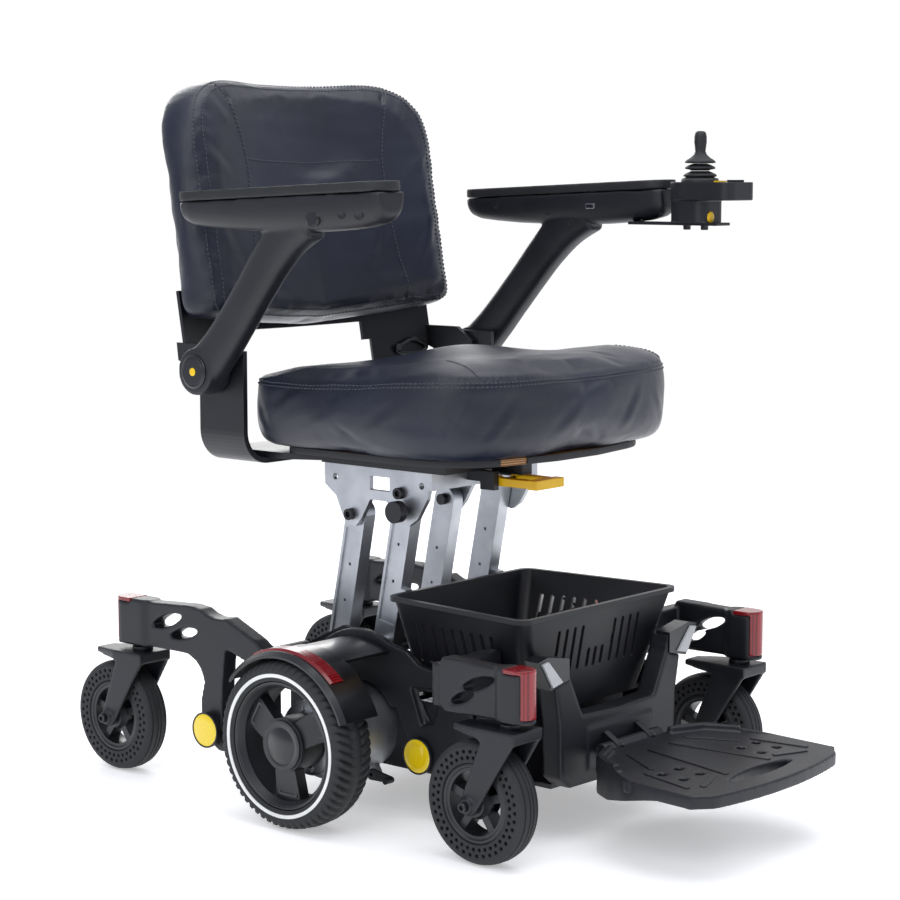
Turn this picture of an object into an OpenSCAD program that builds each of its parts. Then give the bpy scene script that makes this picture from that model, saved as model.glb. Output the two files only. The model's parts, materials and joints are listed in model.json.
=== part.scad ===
// Compact power wheelchair. Millimetres, +Z up, the user faces -Y, the user's left is +X.
// Inside the modules Y = 0 is the drive axle and Z = 0 is the ground. at_axle() moves the
// finished chair so that the origin is under the middle of its overall box.

/* [Wheels] */
// Diameter of a drive wheel
drive_d = 215; // [200:1:240]
// Width of a drive tyre
drive_w = 62; // [54:1:66]
// Overall width across the drive tyres
track_w = 602; // [590:1:640]
// Radius of the drive rim, where the tyre seats
drive_rim_r = 80; // [74:1:86]
// Radius of the drive axle shaft
drive_shaft_r = 8.5; // [7:0.5:10]
// Diameter of a caster wheel
caster_d = 150; // [130:1:160]
// Width of a caster tyre
caster_w = 35; // [28:1:40]
// Radius of the caster rim, where the tyre seats
caster_rim_r = 48; // [42:1:54]
// Distance that a caster wheel trails behind its stem
caster_trail = 43; // [36:1:46]

/* [Wheelbase] */
// Drive axle to the rear caster stems
rear_stem_y = 339; // [335:1:370]
// Centre plane to a rear caster stem
rear_stem_x = 219; // [214:1:222]
// Drive axle to the front caster stems
front_stem_y = 319; // [315:1:340]
// Centre plane to a front caster stem
front_stem_x = 237; // [235:1:245]

/* [Chassis] */
// Height of the chassis floor above the ground
floor_z = 60; // [50:1:70]
// Thickness of the chassis floor and side plates
plate_t = 6; // [4:0.5:8]
// Outer width of the chassis box
chassis_w = 284; // [276:1:290]
// Thickness of a moulded side panel
panel_t = 10; // [8:1:12]
// Thickness of a rear arm casting
rear_arm_t = 24; // [20:1:26]
// Radius of a drive motor
motor_r = 55; // [45:1:56]
// Length of a drive motor
motor_l = 84; // [70:1:86]

/* [Lift tower] */
// Pivot-to-pivot length of a lift arm
lift_arm_l = 200; // [190:1:215]
// Lean of the raised lift arms towards the front, in degrees
lift_lean = 11; // [5:1:15]
// Depth of a lift arm, front to back
lift_arm_d = 34; // [28:1:38]
// Thickness of a lift arm, side to side
lift_arm_t = 20; // [16:1:22]
// Centre plane to the middle of a lift arm
lift_arm_x = 88; // [80:1:92]
// Radius of the pivot shafts and bolts
pivot_r = 6; // [5:0.5:8]
// Height of the rear upper pivot above the ground
pivot_z = 370; // [366:1:385]
// Thickness of a seat bracket plate
bracket_t = 7; // [5:0.5:9]

/* [Seat] */
// Width of the seat cushion
seat_w = 466; // [440:1:470]
// Depth of the seat cushion, front to back
seat_depth = 392; // [380:1:420]
// Height of the seat cushion at its edge
seat_h = 88; // [70:1:92]
// How far the middle of the seat cushion domes above its edge
seat_crown = 30; // [10:1:34]
// Width between the outer faces of the side brackets
side_bracket_w = 494; // [490:1:500]
// Width of a side bracket strip, front to back
side_bracket_d = 80; // [60:1:90]
// Height of the backrest cushion
back_h = 330; // [300:1:345]
// Thickness of the backrest cushion
back_t = 70; // [55:1:76]
// Radius that the backrest curves round the user
back_curve_r = 650; // [500:10:900]
// Recline of the backrest, in degrees
back_recline = 10; // [5:1:14]

/* [Armrests] */
// Overall width across the armrest pads
armrest_span = 610; // [606:1:640]
// Width of an armrest pad
pad_w = 56; // [46:1:58]
// Length of an armrest pad
pad_l = 352; // [320:1:370]
// Thickness of an armrest pad
pad_t = 12; // [10:1:18]
// Height of an armrest pivot above the ground
arm_pivot_z = 561; // [556:1:566]
// Rise from an armrest pivot to the top of its pad
arm_rise = 233; // [220:1:250]

/* [Joystick] */
// Length of the joystick housing
pod_l = 108; // [102:1:125]
// Width of the joystick housing
pod_w = 66; // [58:1:68]
// Height of the joystick housing
pod_h = 53; // [48:1:60]
// Height of the joystick knob above its rocking centre
stick_h = 64; // [50:1:75]

/* [Footplate and basket] */
// Drive axle to the front edge of the footplate
footplate_reach = 548; // [530:1:560]
// Width of the footplate
footplate_w = 308; // [290:1:320]
// Thickness of the footplate
footplate_t = 16; // [12:1:18]
// Height of the footplate hinge above the ground
footplate_hinge_z = 108; // [104:1:114]
// Height of the basket
basket_h = 130; // [100:1:135]
// Thickness of the basket walls
basket_wall = 3; // [2:0.5:4]

/* [Clearances] */
// Radial clearance of a pin or shaft that turns in its bore
run_fit = 0.05; // [0.02:0.01:0.1]
// Gap between faces that move past each other
side_gap = 0.5; // [0.3:0.1:1]

/* [Hidden] */
$fn = 48;

LEFT = 1;
RIGHT = -1;
jet = [0.09, 0.09, 0.1];
charcoal = [0.16, 0.16, 0.17];
navy = [0.13, 0.14, 0.2];
silver = [0.75, 0.76, 0.78];
signal_yellow = [1, 0.85, 0.05];
lamp_red = [0.75, 0.05, 0.05];
clear = [0.85, 0.88, 0.92];

drive_r = drive_d / 2;
caster_r = caster_d / 2;
rear_reach = rear_stem_y + caster_trail + caster_r;
axle_y = (footplate_reach - rear_reach) / 2;
tyre_x = (track_w - drive_w) / 2;

// Casters, forks and the heads that hold their stems
fork_gap = 6;
fork_leg_t = 6;
fork_leg_x = caster_w / 2 + 4;
crown_z = caster_d + fork_gap;
crown_t = 14;
stem_r = 9;
fork_front = -25;
axle_bolt_r = 6;
head_z = crown_z + crown_t + 8;
head_h = 64;
head_w = 32;
front_head = [-33, 20];
rear_head = [-29, 41];
lens_end = 9;
lens_top = 5;

// Chassis box
plate_x = chassis_w / 2;
floor_top = floor_z + plate_t;
chassis_front = 238;
chassis_rear = 135;
rail_z = 142;
rail_t = 6;
cowl_back = 270;
cowl_front = 300;
arm_outer_x = rear_stem_x + rear_arm_t / 2;
reflector_r = 22;
rear_reflector = [194, 86];

// Lift tower: a parallelogram of two pairs of arms
rear_pivot = [57, pivot_z];
front_pivot = [-29, pivot_z + 35];
drop = [lift_arm_l * sin(lift_lean), -lift_arm_l * cos(lift_lean)];
rear_base = rear_pivot + drop;
front_base = front_pivot + drop;
lock_pin = front_pivot + [-6, -22];
lock_pin_r = 3;
lock_knob_r = 14;
bolt_head_r = 7.5;
lock_travel = 6;
bracket_x = lift_arm_x + lift_arm_t / 2 + side_gap + 0.8;
bracket_out = bracket_x + bracket_t;
bracket_top = pivot_z + 64;
seat_plate_z = bracket_top + 15;
seat_plate_t = 8;
lever_pivot = [-118, bracket_top - 14];

// Seat, backrest and armrest pivots
side_bracket_t = 7;
side_x = side_bracket_w / 2;
seat_board_t = 8;
cushion_z = seat_plate_z + seat_plate_t + seat_board_t;
seat_rear = 126;
seat_front = seat_depth - seat_rear;
arm_pivot_y = 160;
arm_pin_r = 10;
hinge_plate_t = 7;
hinge_plate_x = side_x - side_bracket_t - side_gap - hinge_plate_t;
back_base = [198, arm_pivot_z + 50];
pad_x = (armrest_span - pad_w) / 2;
pad_slope = 2.5;
pad_rear = 178;
pad_top = arm_pivot_z + arm_rise;
arm_t = 38;
arm_x = side_x + side_gap;
shroud_z = arm_pivot_z + 184;

// Joystick pod
pod_x = 270;
pod_z = shroud_z;
pod_rear = -184;
stick_y = pod_rear - 40;
collar_h = 5;
stick_z = pod_z + pod_h + 2;
button_y = pod_rear - 72;
rocker_y = pod_rear - 96;

function arc(c, r, a0, a1, n = 12) =
  [for (i = [0 : n]) let (a = a0 + (a1 - a0) * i / n) c + r * [cos(a), sin(a)]];
function mirrored(points) =
  concat(points, [for (i = [len(points) - 1 : -1 : 0]) [-points[i][0], points[i][1]]]);

module at_axle() translate([0, axle_y, 0]) children();
// Draws its children on the left (+X) side, or mirrors them to the right
module on_side(side) mirror([side == LEFT ? 0 : 1, 0, 0]) children();
module both_sides() for (side = [LEFT, RIGHT]) on_side(side) children();
// Stands a (Y, Z) outline up and extrudes it along +X from x0
module yz(x0, t) translate([x0, 0, 0]) rotate([90, 0, 90]) linear_extrude(t) children();
// Stands an (X, Z) outline up and extrudes it towards the front from y0
module xz(y0, t) translate([0, y0, 0]) rotate([90, 0, 0]) linear_extrude(t) children();
// A cylinder along X
module xcyl(p, x0, l, r) translate([x0, p[0], p[1]]) rotate([0, 90, 0]) cylinder(h = l, r = r);
// Turns a profile in (radius, X) about an X axis, between two angles from +Y to +Z
module about_x(p, a0 = 0, a1 = 360) translate([0, p[0], p[1]]) rotate([90, 0, 90])
  rotate([0, 0, a0]) rotate_extrude(angle = a1 - a0, $fn = 96) children();
module box(lo, hi) translate(lo) cube(hi - lo);

/* ---- Chassis ---- */
module chassis_frame() color(jet) at_axle() {
  side = concat([[-chassis_front, floor_z], [chassis_rear, floor_z]],
    arc([chassis_rear - 25, rear_base[1] - 5], 25, 0, 70, 4),
    [[front_base[0] + 30, front_base[1] + 22], [front_base[0] - 18, front_base[1] + 16]],
    [[-78, 150], [-170, 150], [-190, 178], [-chassis_front, 178]]);
  difference() {
    union() {
      both_sides() yz(plate_x - plate_t, plate_t) polygon(side);
      box([-plate_x, -chassis_front, floor_z], [plate_x, chassis_rear, floor_top]);
      box([-100, -cowl_back, floor_z], [100, -chassis_front, floor_top]);
      for (y = [-232, -66])
        box([-plate_x, y, rail_z], [plate_x, y + 14, rail_z + rail_t]);
      box([-plate_x, chassis_rear - plate_t, floor_z], [plate_x, chassis_rear, floor_z + 60]);
    }
    for (p = [rear_base, front_base]) xcyl(p, -plate_x - 1, 2 * plate_x + 2, pivot_r);
    for (y = [-180, -40, 60]) translate([0, y, 0]) cylinder(h = floor_top + 1, r = 12);
  }
}

module panel_outline() polygon(concat(
  [[64, 196], [62, 208]], arc([0, drive_r + 22], 103, 52, 118, 10),
  [[-78, 214], [-98, 199], [-118, 195], [-150, 199], [-188, 210], [-188, 100],
   [-160, 68], [-124, 62], [-92, 64], [-80, 100], [-62, 140]],
  arc([0, drive_r], motor_r + 4, 150, 30, 10), [[60, 170]]));

module panel_window(d) polygon([[-85 - d, 170 - d], [-136 + d, 173 - d],
  [-126 + d, 128 + d], [-104 - d, 122 + d]]);

module side_panels() color(charcoal) at_axle() both_sides() difference() {
  yz(plate_x, panel_t) panel_outline();
  yz(plate_x + 3, panel_t) panel_window(0);
  yz(plate_x - 1, panel_t) panel_window(7);
}

/* ---- Caster arms ---- */
module head_solid(x, y, span) translate([x, y, head_z]) hull() for (e = span)
  translate([0, e + (e < 0 ? 1 : -1) * head_w / 2, 0]) cylinder(h = head_h, r = head_w / 2, $fn = 32);
// The part of a head that its lamp takes: the end wall and the end of the top
module lens_region(x, y, tip) {
  dir = tip < 0 ? -1 : 1;
  a = y + tip - dir * lens_end;
  b = y + tip + dir;
  c = y + tip - dir * 34;
  box([x - head_w, min(a, b), head_z + 6], [x + head_w, max(a, b), head_z + head_h + 1]);
  box([x - head_w, min(c, b), head_z + head_h - lens_top],
      [x + head_w, max(c, b), head_z + head_h + 1]);
}

module rear_arm_outline() {
  x0 = rear_stem_y - 20;
  difference() {
    polygon(concat(
      [[x0, head_z + head_h - 2], [rear_stem_y - 105, 245], [rear_stem_y - 126, 243]],
      arc([rear_stem_y - 158, 296], 62, 300, 255, 6),
      [[112, 214], [92, 200], [86, 170], [86, 74], [96, 62], [180, 58]],
      arc(rear_reflector, 19, 270, 350, 6),
      [[214, 120]], arc([rear_stem_y - 92, 139], 41, 170, 92, 8),
      [[x0, head_z + 2]]));
    polygon([[166, 196], [172, 140], [174, 86], [112, 86], [108, 172], [128, 184]]);
  }
}

module eye_slot(c, half, bulge, turn) {
  r = (half * half + bulge * bulge) / (2 * bulge);
  translate(c) rotate(turn) intersection() {
    translate([0, bulge - r]) circle(r = r, $fn = 72);
    translate([0, r - bulge]) circle(r = r, $fn = 72);
  }
}

module rear_arm(side) color(charcoal) at_axle() on_side(side) difference() {
  union() {
    yz(arm_outer_x - rear_arm_t, rear_arm_t) difference() {
      rear_arm_outline();
      eye_slot([rear_stem_y - 61, 219], 34, 8, -19);
      eye_slot([rear_stem_y - 94, 206], 30, 7, -14);
    }
    for (p = [[104, 190], [104, 78]]) xcyl(p, plate_x, arm_outer_x - rear_arm_t - plate_x + 1, 13);
    head_solid(rear_stem_x, rear_stem_y, rear_head);
    xcyl(rear_reflector, arm_outer_x - 1, 8, 17);
  }
  lens_region(rear_stem_x, rear_stem_y, rear_head[1]);
  translate([rear_stem_x, rear_stem_y, head_z - 1]) cylinder(h = 46, r = stem_r + run_fit);
}
module rear_arm_left() rear_arm(LEFT);
module rear_arm_right() rear_arm(RIGHT);

module front_arm(side) color(charcoal) at_axle() on_side(side) difference() {
  root = front_stem_y - 100;
  union() {
    yz(front_stem_x - 10, 22) difference() {
      polygon([[-front_stem_y + 12, head_z + head_h - 1], [-root - 4, head_z + head_h + 1],
        [-root, head_z + head_h - 6], [-root, head_z + 6], [-root - 6, head_z],
        [-front_stem_y + 12, head_z + 1]]);
      eye_slot([-front_stem_y + 42, head_z + 40], 30, 7, -20);
      eye_slot([-front_stem_y + 66, head_z + 20], 22, 6, -24);
    }
    box([plate_x, -root - 8, head_z + 4], [front_stem_x + 11, -root + 14, head_z + head_h - 8]);
    box([plate_x, -root - 8, 96], [plate_x + 8, -190, head_z + 40]);
    head_solid(front_stem_x, -front_stem_y, front_head);
  }
  lens_region(front_stem_x, -front_stem_y, front_head[0]);
  translate([front_stem_x, -front_stem_y, head_z - 1]) cylinder(h = 46, r = stem_r + run_fit);
}
module front_arm_left() front_arm(LEFT);
module front_arm_right() front_arm(RIGHT);

module corner_lenses() color(lamp_red) at_axle() both_sides() {
  intersection() {
    head_solid(rear_stem_x, rear_stem_y, rear_head);
    lens_region(rear_stem_x, rear_stem_y, rear_head[1]);
  }
  intersection() {
    head_solid(front_stem_x, -front_stem_y, front_head);
    lens_region(front_stem_x, -front_stem_y, front_head[0]);
  }
}

module side_reflectors() color(signal_yellow) at_axle() both_sides() {
  xcyl(rear_reflector, arm_outer_x + 7, 5, reflector_r);
  xcyl([-101, 84], plate_x + panel_t, 8, reflector_r);
}

/* ---- Fenders, lamps and cowl ---- */
fender_gap = 6;
fender_t = 4;
fender_in = tyre_x - drive_w / 2 - 2;
fender_out = tyre_x + drive_w / 2 - 2;
module fender_profile(r, t, x0, x1, side_drop) polygon([
  [r, x0 + 4], [r, x1 - 8], [r - side_drop, x1 - 1], [r - side_drop, x1],
  [r - side_drop + 3, x1], [r + t, x1 - 6], [r + t, x0], [r - 2, x0], [r - 2, x0 + 4]]);
module drive_fenders() color(jet) at_axle() both_sides() difference() {
  union() {
    about_x([0, drive_r], 38, 158)
      fender_profile(drive_r + fender_gap, fender_t, fender_in, fender_out, 4);
    about_x([0, drive_r], 74, 116) polygon([
      [drive_r + fender_gap + 2, plate_x + panel_t], [drive_r + fender_gap + 2, fender_in + 1],
      [drive_r + fender_gap - 3, fender_in + 1], [drive_r + fender_gap - 3, plate_x + panel_t]]);
  }
  about_x([0, drive_r], 62, 132) fender_lens_profile();
}
module fender_lens_profile() polygon([
  [drive_r + fender_gap + fender_t - 1.5, fender_out - 34],
  [drive_r + fender_gap + fender_t + 3, fender_out - 30],
  [drive_r + fender_gap + fender_t + 3, fender_out - 12],
  [drive_r + fender_gap + fender_t - 1.5, fender_out - 8]]);
module fender_lenses() color(lamp_red) at_axle() both_sides()
  about_x([0, drive_r], 62, 132) fender_lens_profile();

lamp_z = 214;
module front_cowl() color(charcoal) at_axle() difference() {
  half = [[0, floor_z + 4], [100, floor_z + 6], [118, floor_z + 20], [120, 150],
    [130, 200], [130, 228], [104, 228], [100, 205], [74, 153], [0, 150]];
  union() {
    xz(-cowl_back, cowl_front - cowl_back) polygon(concat(half,
      [for (i = [len(half) - 2 : -1 : 1]) [-half[i][0], half[i][1]]]));
    box([-66, -cowl_front - 3, 84], [66, -cowl_front + 1, 134]);
  }
  both_sides() xz(-cowl_back - 9, 30) polygon(lamp_outline);
}
lamp_outline = [[104, lamp_z - 12], [140, lamp_z - 20], [164, lamp_z + 18], [146, lamp_z + 22],
  [104, lamp_z + 14]];
module headlight_housings() color(jet) at_axle() both_sides() difference() {
  xz(-cowl_back - 9, 22) polygon(lamp_outline);
  xz(-cowl_back - 22, 12) lens_outline(0);
}
module lens_outline(d) polygon([[120 + d, lamp_z - 12 + d], [139 - d, lamp_z - 16 + d],
  [159 - d, lamp_z + 15 - d], [148 - d, lamp_z + 17 - d]]);
module headlight_lenses() color(clear) at_axle() both_sides()
  xz(-cowl_back - 22, 12) lens_outline(0);

/* ---- Basket ---- */
basket_z = rail_z + rail_t;
module basket_corners(inset, z0, dz) {
  bottom = [[112, -248], [100, -52]];
  top = [[157, -272], [139, -38]];
  r = 16 - inset / 2;
  for (p = bottom, s = [-1, 1])
    translate([s * (p[0] - 16), p[1] + (p[1] < -100 ? 16 : -16), z0]) cylinder(h = 1, r = r, $fn = 32);
  for (p = top, s = [-1, 1])
    translate([s * (p[0] - 16), p[1] + (p[1] < -100 ? 16 : -16), basket_z + basket_h - 1 + dz])
      cylinder(h = 1, r = r, $fn = 32);
}
module basket_slot(w, h) {
  translate([-w / 2, 0]) square([w, h]);
  for (z = [0, h]) translate([0, z]) circle(d = w, $fn = 24);
}
module basket() color(jet) at_axle() difference() {
  union() {
    hull() basket_corners(0, basket_z, 0);
    hull() for (p = [[161, -276], [143, -34]], s = [-1, 1])
      translate([s * (p[0] - 18), p[1] + (p[1] < -100 ? 18 : -18), basket_z + basket_h - 6])
        cylinder(h = 6, r = 18, $fn = 32);
  }
  hull() basket_corners(2 * basket_wall, basket_z + basket_wall, 2);
  for (i = [0 : 3], s = [-1, 1]) translate([s * (33 + 16 * i), 0, 199])
    xz(-240, 40) basket_slot(6, 52);
  for (i = [-1 : 1]) translate([14 * i, 0, 199]) xz(-240, 40) basket_slot(6, 20);
  for (i = [0 : 8]) translate([0, -74 - 17 * i, 198]) yz(-170, 340) basket_slot(6, 48);
}

/* ---- Drive ---- */
module motor(side) color(silver) at_axle() on_side(side) difference() {
  union() {
    xcyl([0, drive_r], plate_x, motor_l, motor_r);
    xcyl([0, drive_r], plate_x + motor_l - 1, 22, motor_r - 8);
    xcyl([0, drive_r], plate_x + motor_l + 20, 7, 18);
    hull() {
      xcyl(lever_boss, plate_x + panel_t + 3, 9, 7, $fn = 32);
      xcyl([-22, drive_r - motor_r + 16], plate_x + panel_t + 3, 9, 9, $fn = 32);
    }
  }
  xcyl([0, drive_r], plate_x + motor_l - 20, 60, drive_shaft_r + run_fit);
  for (a = [45 : 90 : 315]) xcyl([0, drive_r] + 40 * [cos(a), sin(a)], plate_x + motor_l + 16, 8, 3);
  xcyl(lever_boss, plate_x + panel_t + 2, 12, 3 + run_fit);
}
lever_boss = [-34, drive_r - motor_r - 1];
module motor_left() motor(LEFT);
module motor_right() motor(RIGHT);

// Lever that lifts the motor brake so that the chair can be pushed
module freewheel_lever(side) color(jet) at_axle() on_side(side) {
  x0 = plate_x + panel_t + 12 + side_gap;
  difference() {
    hull() {
      xcyl(lever_boss, x0, 5, 7);
      xcyl(lever_boss + [-32, -2], x0, 5, 4);
    }
    xcyl(lever_boss, x0 - 1, 7, 2.5);
  }
  xcyl(lever_boss, x0 - 11, 11, 3);
  xcyl(lever_boss + [-32, -2], x0 + 5, 9, 4);
}
module freewheel_lever_left() freewheel_lever(LEFT);
module freewheel_lever_right() freewheel_lever(RIGHT);

module drive_tyre(side) color(jet) at_axle() on_side(side) {
  w = drive_w / 2;
  about_x([0, drive_r]) translate([0, tyre_x]) polygon(concat(
    [[drive_rim_r, -w + 4], [drive_rim_r, w - 4], [drive_rim_r + 5, w - 0.5]],
    [for (a = [0 : 15 : 90]) [drive_r - 14 + 14 * sin(a), w - 14 + 14 * cos(a)]],
    [for (a = [90 : -15 : 0]) [drive_r - 14 + 14 * sin(a), -w + 14 - 14 * cos(a)]],
    [[drive_rim_r + 5, -w + 0.5]]));
}
module drive_tyre_left() drive_tyre(LEFT);
module drive_tyre_right() drive_tyre(RIGHT);

hub_r = 34;
cap_r = 31.5;
hub_out = tyre_x + drive_w / 2 - 8;
hub_in = plate_x + motor_l + 28;
module drive_rim(side) color(charcoal) at_axle() on_side(side) {
  about_x([0, drive_r]) translate([0, tyre_x])
    polygon([[drive_rim_r, -27], [drive_rim_r, 27], [drive_rim_r - 4, 26], [drive_rim_r - 9, 18],
      [drive_rim_r - 9, -24], [drive_rim_r - 4, -27]]);
  difference() {
    union() {
      xcyl([0, drive_r], hub_in, hub_out - hub_in, hub_r);
      for (a = [-90, 30, 150]) translate([hub_out - 20, 0, drive_r]) rotate([a, 0, 0])
        translate([0, hub_r - 4, 0]) hull() {
          translate([0, 0, -17]) cube([16, 1, 34]);
          translate([-6, drive_rim_r - hub_r - 5, -21]) cube([16, 1, 42]);
        }
    }
    xcyl([0, drive_r], hub_out - 3, 4, cap_r);
    xcyl([0, drive_r], hub_in - 1, 16, drive_shaft_r);
  }
  xcyl([0, drive_r], hub_out - 3, 6, cap_r);
  xcyl([0, drive_r], plate_x + motor_l - 18, hub_in + 15 - plate_x - motor_l + 18, drive_shaft_r);
}
module drive_rim_left() drive_rim(LEFT);
module drive_rim_right() drive_rim(RIGHT);

module battery_pack() color(jet) at_axle()
  box([-112, -222, floor_top], [112, -78, rail_z - 4]);
module motor_controller() color(silver) at_axle() {
  box([-62, 20, floor_top], [62, 120, floor_top + 8]);
  for (i = [0 : 9]) box([-60 + i * 12.5, 22, floor_top + 8], [-52 + i * 12.5, 118, floor_top + 34]);
}
module lower_pivot_shafts() color(silver) at_axle() for (p = [rear_base, front_base])
  xcyl(p, -plate_x, 2 * plate_x, pivot_r);

/* ---- Casters ---- */
module at_stem(x, y) at_axle() translate([x, y, 0]) children();
module caster_fork(x, y) color(charcoal) at_stem(x, y) {
  hub = [caster_trail, caster_r];
  difference() {
    union() {
      hull() {
        box([-fork_leg_x - fork_leg_t, fork_front, crown_z],
            [fork_leg_x + fork_leg_t, 30, crown_z + crown_t]);
        box([-15, caster_trail + 32, crown_z + 3], [15, caster_trail + 34, crown_z + crown_t - 3]);
      }
      for (s = [-1, 1]) hull() {
        xcyl(hub, s * (fork_leg_x + fork_leg_t / 2) - fork_leg_t / 2, fork_leg_t, 13, $fn = 32);
        translate([s * (fork_leg_x + fork_leg_t / 2) - fork_leg_t / 2, fork_front + 2, crown_z])
          cube([fork_leg_t, 22 - fork_front, 2]);
      }
    }
    xcyl(hub, -60, 120, axle_bolt_r);
    translate([0, 0, crown_z - 1]) cylinder(h = crown_t + 2, r = stem_r);
  }
  translate([0, 0, crown_z]) cylinder(h = head_z + 40 - crown_z, r = stem_r);
  difference() {
    union() {
      xcyl(hub, -fork_leg_x - fork_leg_t, 2 * (fork_leg_x + fork_leg_t), axle_bolt_r);
      for (s = [-1, 1]) xcyl(hub, s * (fork_leg_x + fork_leg_t + 3) - 3, 6, 9.5);
    }
    for (s = [-1, 1]) xcyl(hub, s * (fork_leg_x + fork_leg_t + 6) - 3, 6, 3.5);
  }
}
module caster_rim(x, y) color(charcoal) at_stem(x, y) {
  hub = [caster_trail, caster_r];
  difference() {
    union() {
      xcyl(hub, -caster_w / 2 - 1, caster_w + 2, 14);
      for (a = [18 : 72 : 306]) translate([0, hub[0], hub[1]]) rotate([a, 0, 0])
        translate([-10, 10, -5]) cube([20, caster_rim_r - 16, 10]);
      about_x(hub) translate([caster_rim_r - 9, 3 - caster_w / 2]) square([9, caster_w - 6]);
    }
    xcyl(hub, -caster_w, 2 * caster_w, axle_bolt_r + run_fit);
  }
}
module caster_tyre(x, y) color(jet) at_stem(x, y) about_x([caster_trail, caster_r]) {
  w = caster_w / 2;
  polygon(concat([[caster_rim_r, -w + 1], [caster_rim_r, w - 1]],
    [for (a = [0 : 15 : 90]) [caster_r - 9 + 9 * sin(a), w - 9 + 9 * cos(a)]],
    [for (a = [90 : -15 : 0]) [caster_r - 9 + 9 * sin(a), -w + 9 - 9 * cos(a)]]));
}
module caster_fork_front_left() caster_fork(front_stem_x, -front_stem_y);
module caster_fork_front_right() caster_fork(-front_stem_x, -front_stem_y);
module caster_fork_rear_left() caster_fork(rear_stem_x, rear_stem_y);
module caster_fork_rear_right() caster_fork(-rear_stem_x, rear_stem_y);
module caster_rim_front_left() caster_rim(front_stem_x, -front_stem_y);
module caster_rim_front_right() caster_rim(-front_stem_x, -front_stem_y);
module caster_rim_rear_left() caster_rim(rear_stem_x, rear_stem_y);
module caster_rim_rear_right() caster_rim(-rear_stem_x, rear_stem_y);
module caster_tyre_front_left() caster_tyre(front_stem_x, -front_stem_y);
module caster_tyre_front_right() caster_tyre(-front_stem_x, -front_stem_y);
module caster_tyre_rear_left() caster_tyre(rear_stem_x, rear_stem_y);
module caster_tyre_rear_right() caster_tyre(-rear_stem_x, rear_stem_y);

/* ---- Lift tower ---- */
// One lift arm from its lower pivot, drawn upright and leaned to the tower's angle
module lift_arm(base, top_play) {
  inner = lift_arm_x - lift_arm_t / 2;
  difference() {
    translate([0, base[0], base[1]]) rotate([lift_lean, 0, 0]) difference() {
      union() {
        box([inner, -lift_arm_d / 2, 0], [inner + lift_arm_t, lift_arm_d / 2, lift_arm_l]);
        for (z = [0, lift_arm_l]) xcyl([0, z], inner, lift_arm_t, lift_arm_d / 2 - 0.02);
      }
      box([inner + lift_arm_t - 2.5, -lift_arm_d / 2 + 4, 24],
          [inner + lift_arm_t + 1, lift_arm_d / 2 - 4, lift_arm_l - 22]);
      for (z = [80, 130]) xcyl([0, z], inner - 1, lift_arm_t + 2, 2);
    }
    xcyl(base, 0, 200, pivot_r + run_fit);
    xcyl(base - drop, 0, 200, pivot_r + top_play);
  }
}
// Sleeve over a lower shaft that ties a pair of arms together
module torsion_tube(base) difference() {
  xcyl(base, -lift_arm_x, 2 * lift_arm_x, 12);
  xcyl(base, -lift_arm_x - 1, 2 * lift_arm_x + 2, pivot_r + run_fit);
}
module lift_arms_rear() color(silver) at_axle() {
  both_sides() lift_arm(rear_base, run_fit);
  torsion_tube(rear_base);
}
module lift_arms_front() color(silver) at_axle() difference() {
  union() {
    both_sides() {
      lift_arm(front_base, 0.6);
      translate([0, front_base[0], front_base[1]]) rotate([lift_lean, 0, 0])
        box([lift_arm_x - 2, -lift_arm_d / 2 - 9, 66], [lift_arm_x + 11, -lift_arm_d / 2, 76]);
    }
    torsion_tube(front_base);
  }
  xcyl(lock_pin, -bracket_x, lock_travel + 4, lock_pin_r + 0.6);
}

module bracket_outline() polygon([[104, bracket_top], [104, pivot_z + 36], [84, pivot_z + 22],
  [rear_pivot[0] + 17, pivot_z], [rear_pivot[0] + 8, pivot_z - 14],
  [rear_pivot[0] - 8, pivot_z - 15], [rear_pivot[0] - 18, pivot_z - 4], [24, pivot_z + 22],
  [-4, pivot_z + 22], [-16, pivot_z + 14], [-20, pivot_z - 2], [-44, pivot_z - 6],
  [-58, pivot_z + 4], [-74, pivot_z + 30], [-82, bracket_top]]);
module seat_brackets() color(silver) at_axle() difference() {
  union() {
    both_sides() yz(bracket_x, bracket_t) bracket_outline();
    box([-bracket_out, -82, bracket_top - 22], [bracket_out, -74, bracket_top]);
    box([-bracket_out, 92, bracket_top - 18], [bracket_out, 100, bracket_top]);
    both_sides() box([bracket_out - 26, -82, bracket_top - 6], [bracket_out, 104, bracket_top]);
  }
  for (p = [rear_pivot, front_pivot]) xcyl(p, -150, 300, pivot_r);
  xcyl(lock_pin, -150, 60, lock_pin_r + run_fit);
  both_sides() {
    for (y = [accessory_y[0], accessory_y[1]]) xcyl([y, accessory_z], 80, 50, accessory_r);
    box([bracket_x - 1, -10, accessory_z - 12], [bracket_out + 1, 24, accessory_z + 6]);
  }
}
accessory_y = [-65, 85];
accessory_z = bracket_top - 17;
accessory_r = 4.2;

module upper_pivot_bolts() color(jet) at_axle() both_sides()
  for (p = [rear_pivot, front_pivot]) difference() {
    union() {
      xcyl(p, lift_arm_x - lift_arm_t / 2 - 4, bracket_out - lift_arm_x + lift_arm_t / 2 + 4, pivot_r);
      xcyl(p, bracket_out, 7, bolt_head_r);
      xcyl(p, lift_arm_x - lift_arm_t / 2 - 8, 7, bolt_head_r);
    }
    xcyl(p, bracket_out + 3, 5, 4);
  }

module lock_knob() color(jet) at_axle() mirror([1, 0, 0]) {
  xcyl(lock_pin, bracket_x - 1, bracket_t + 14, lock_pin_r);
  difference() {
    xcyl(lock_pin, bracket_out + 9, 12, lock_knob_r);
    xcyl(lock_pin, bracket_out + 8, 5, lock_pin_r);
  }
}

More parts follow.
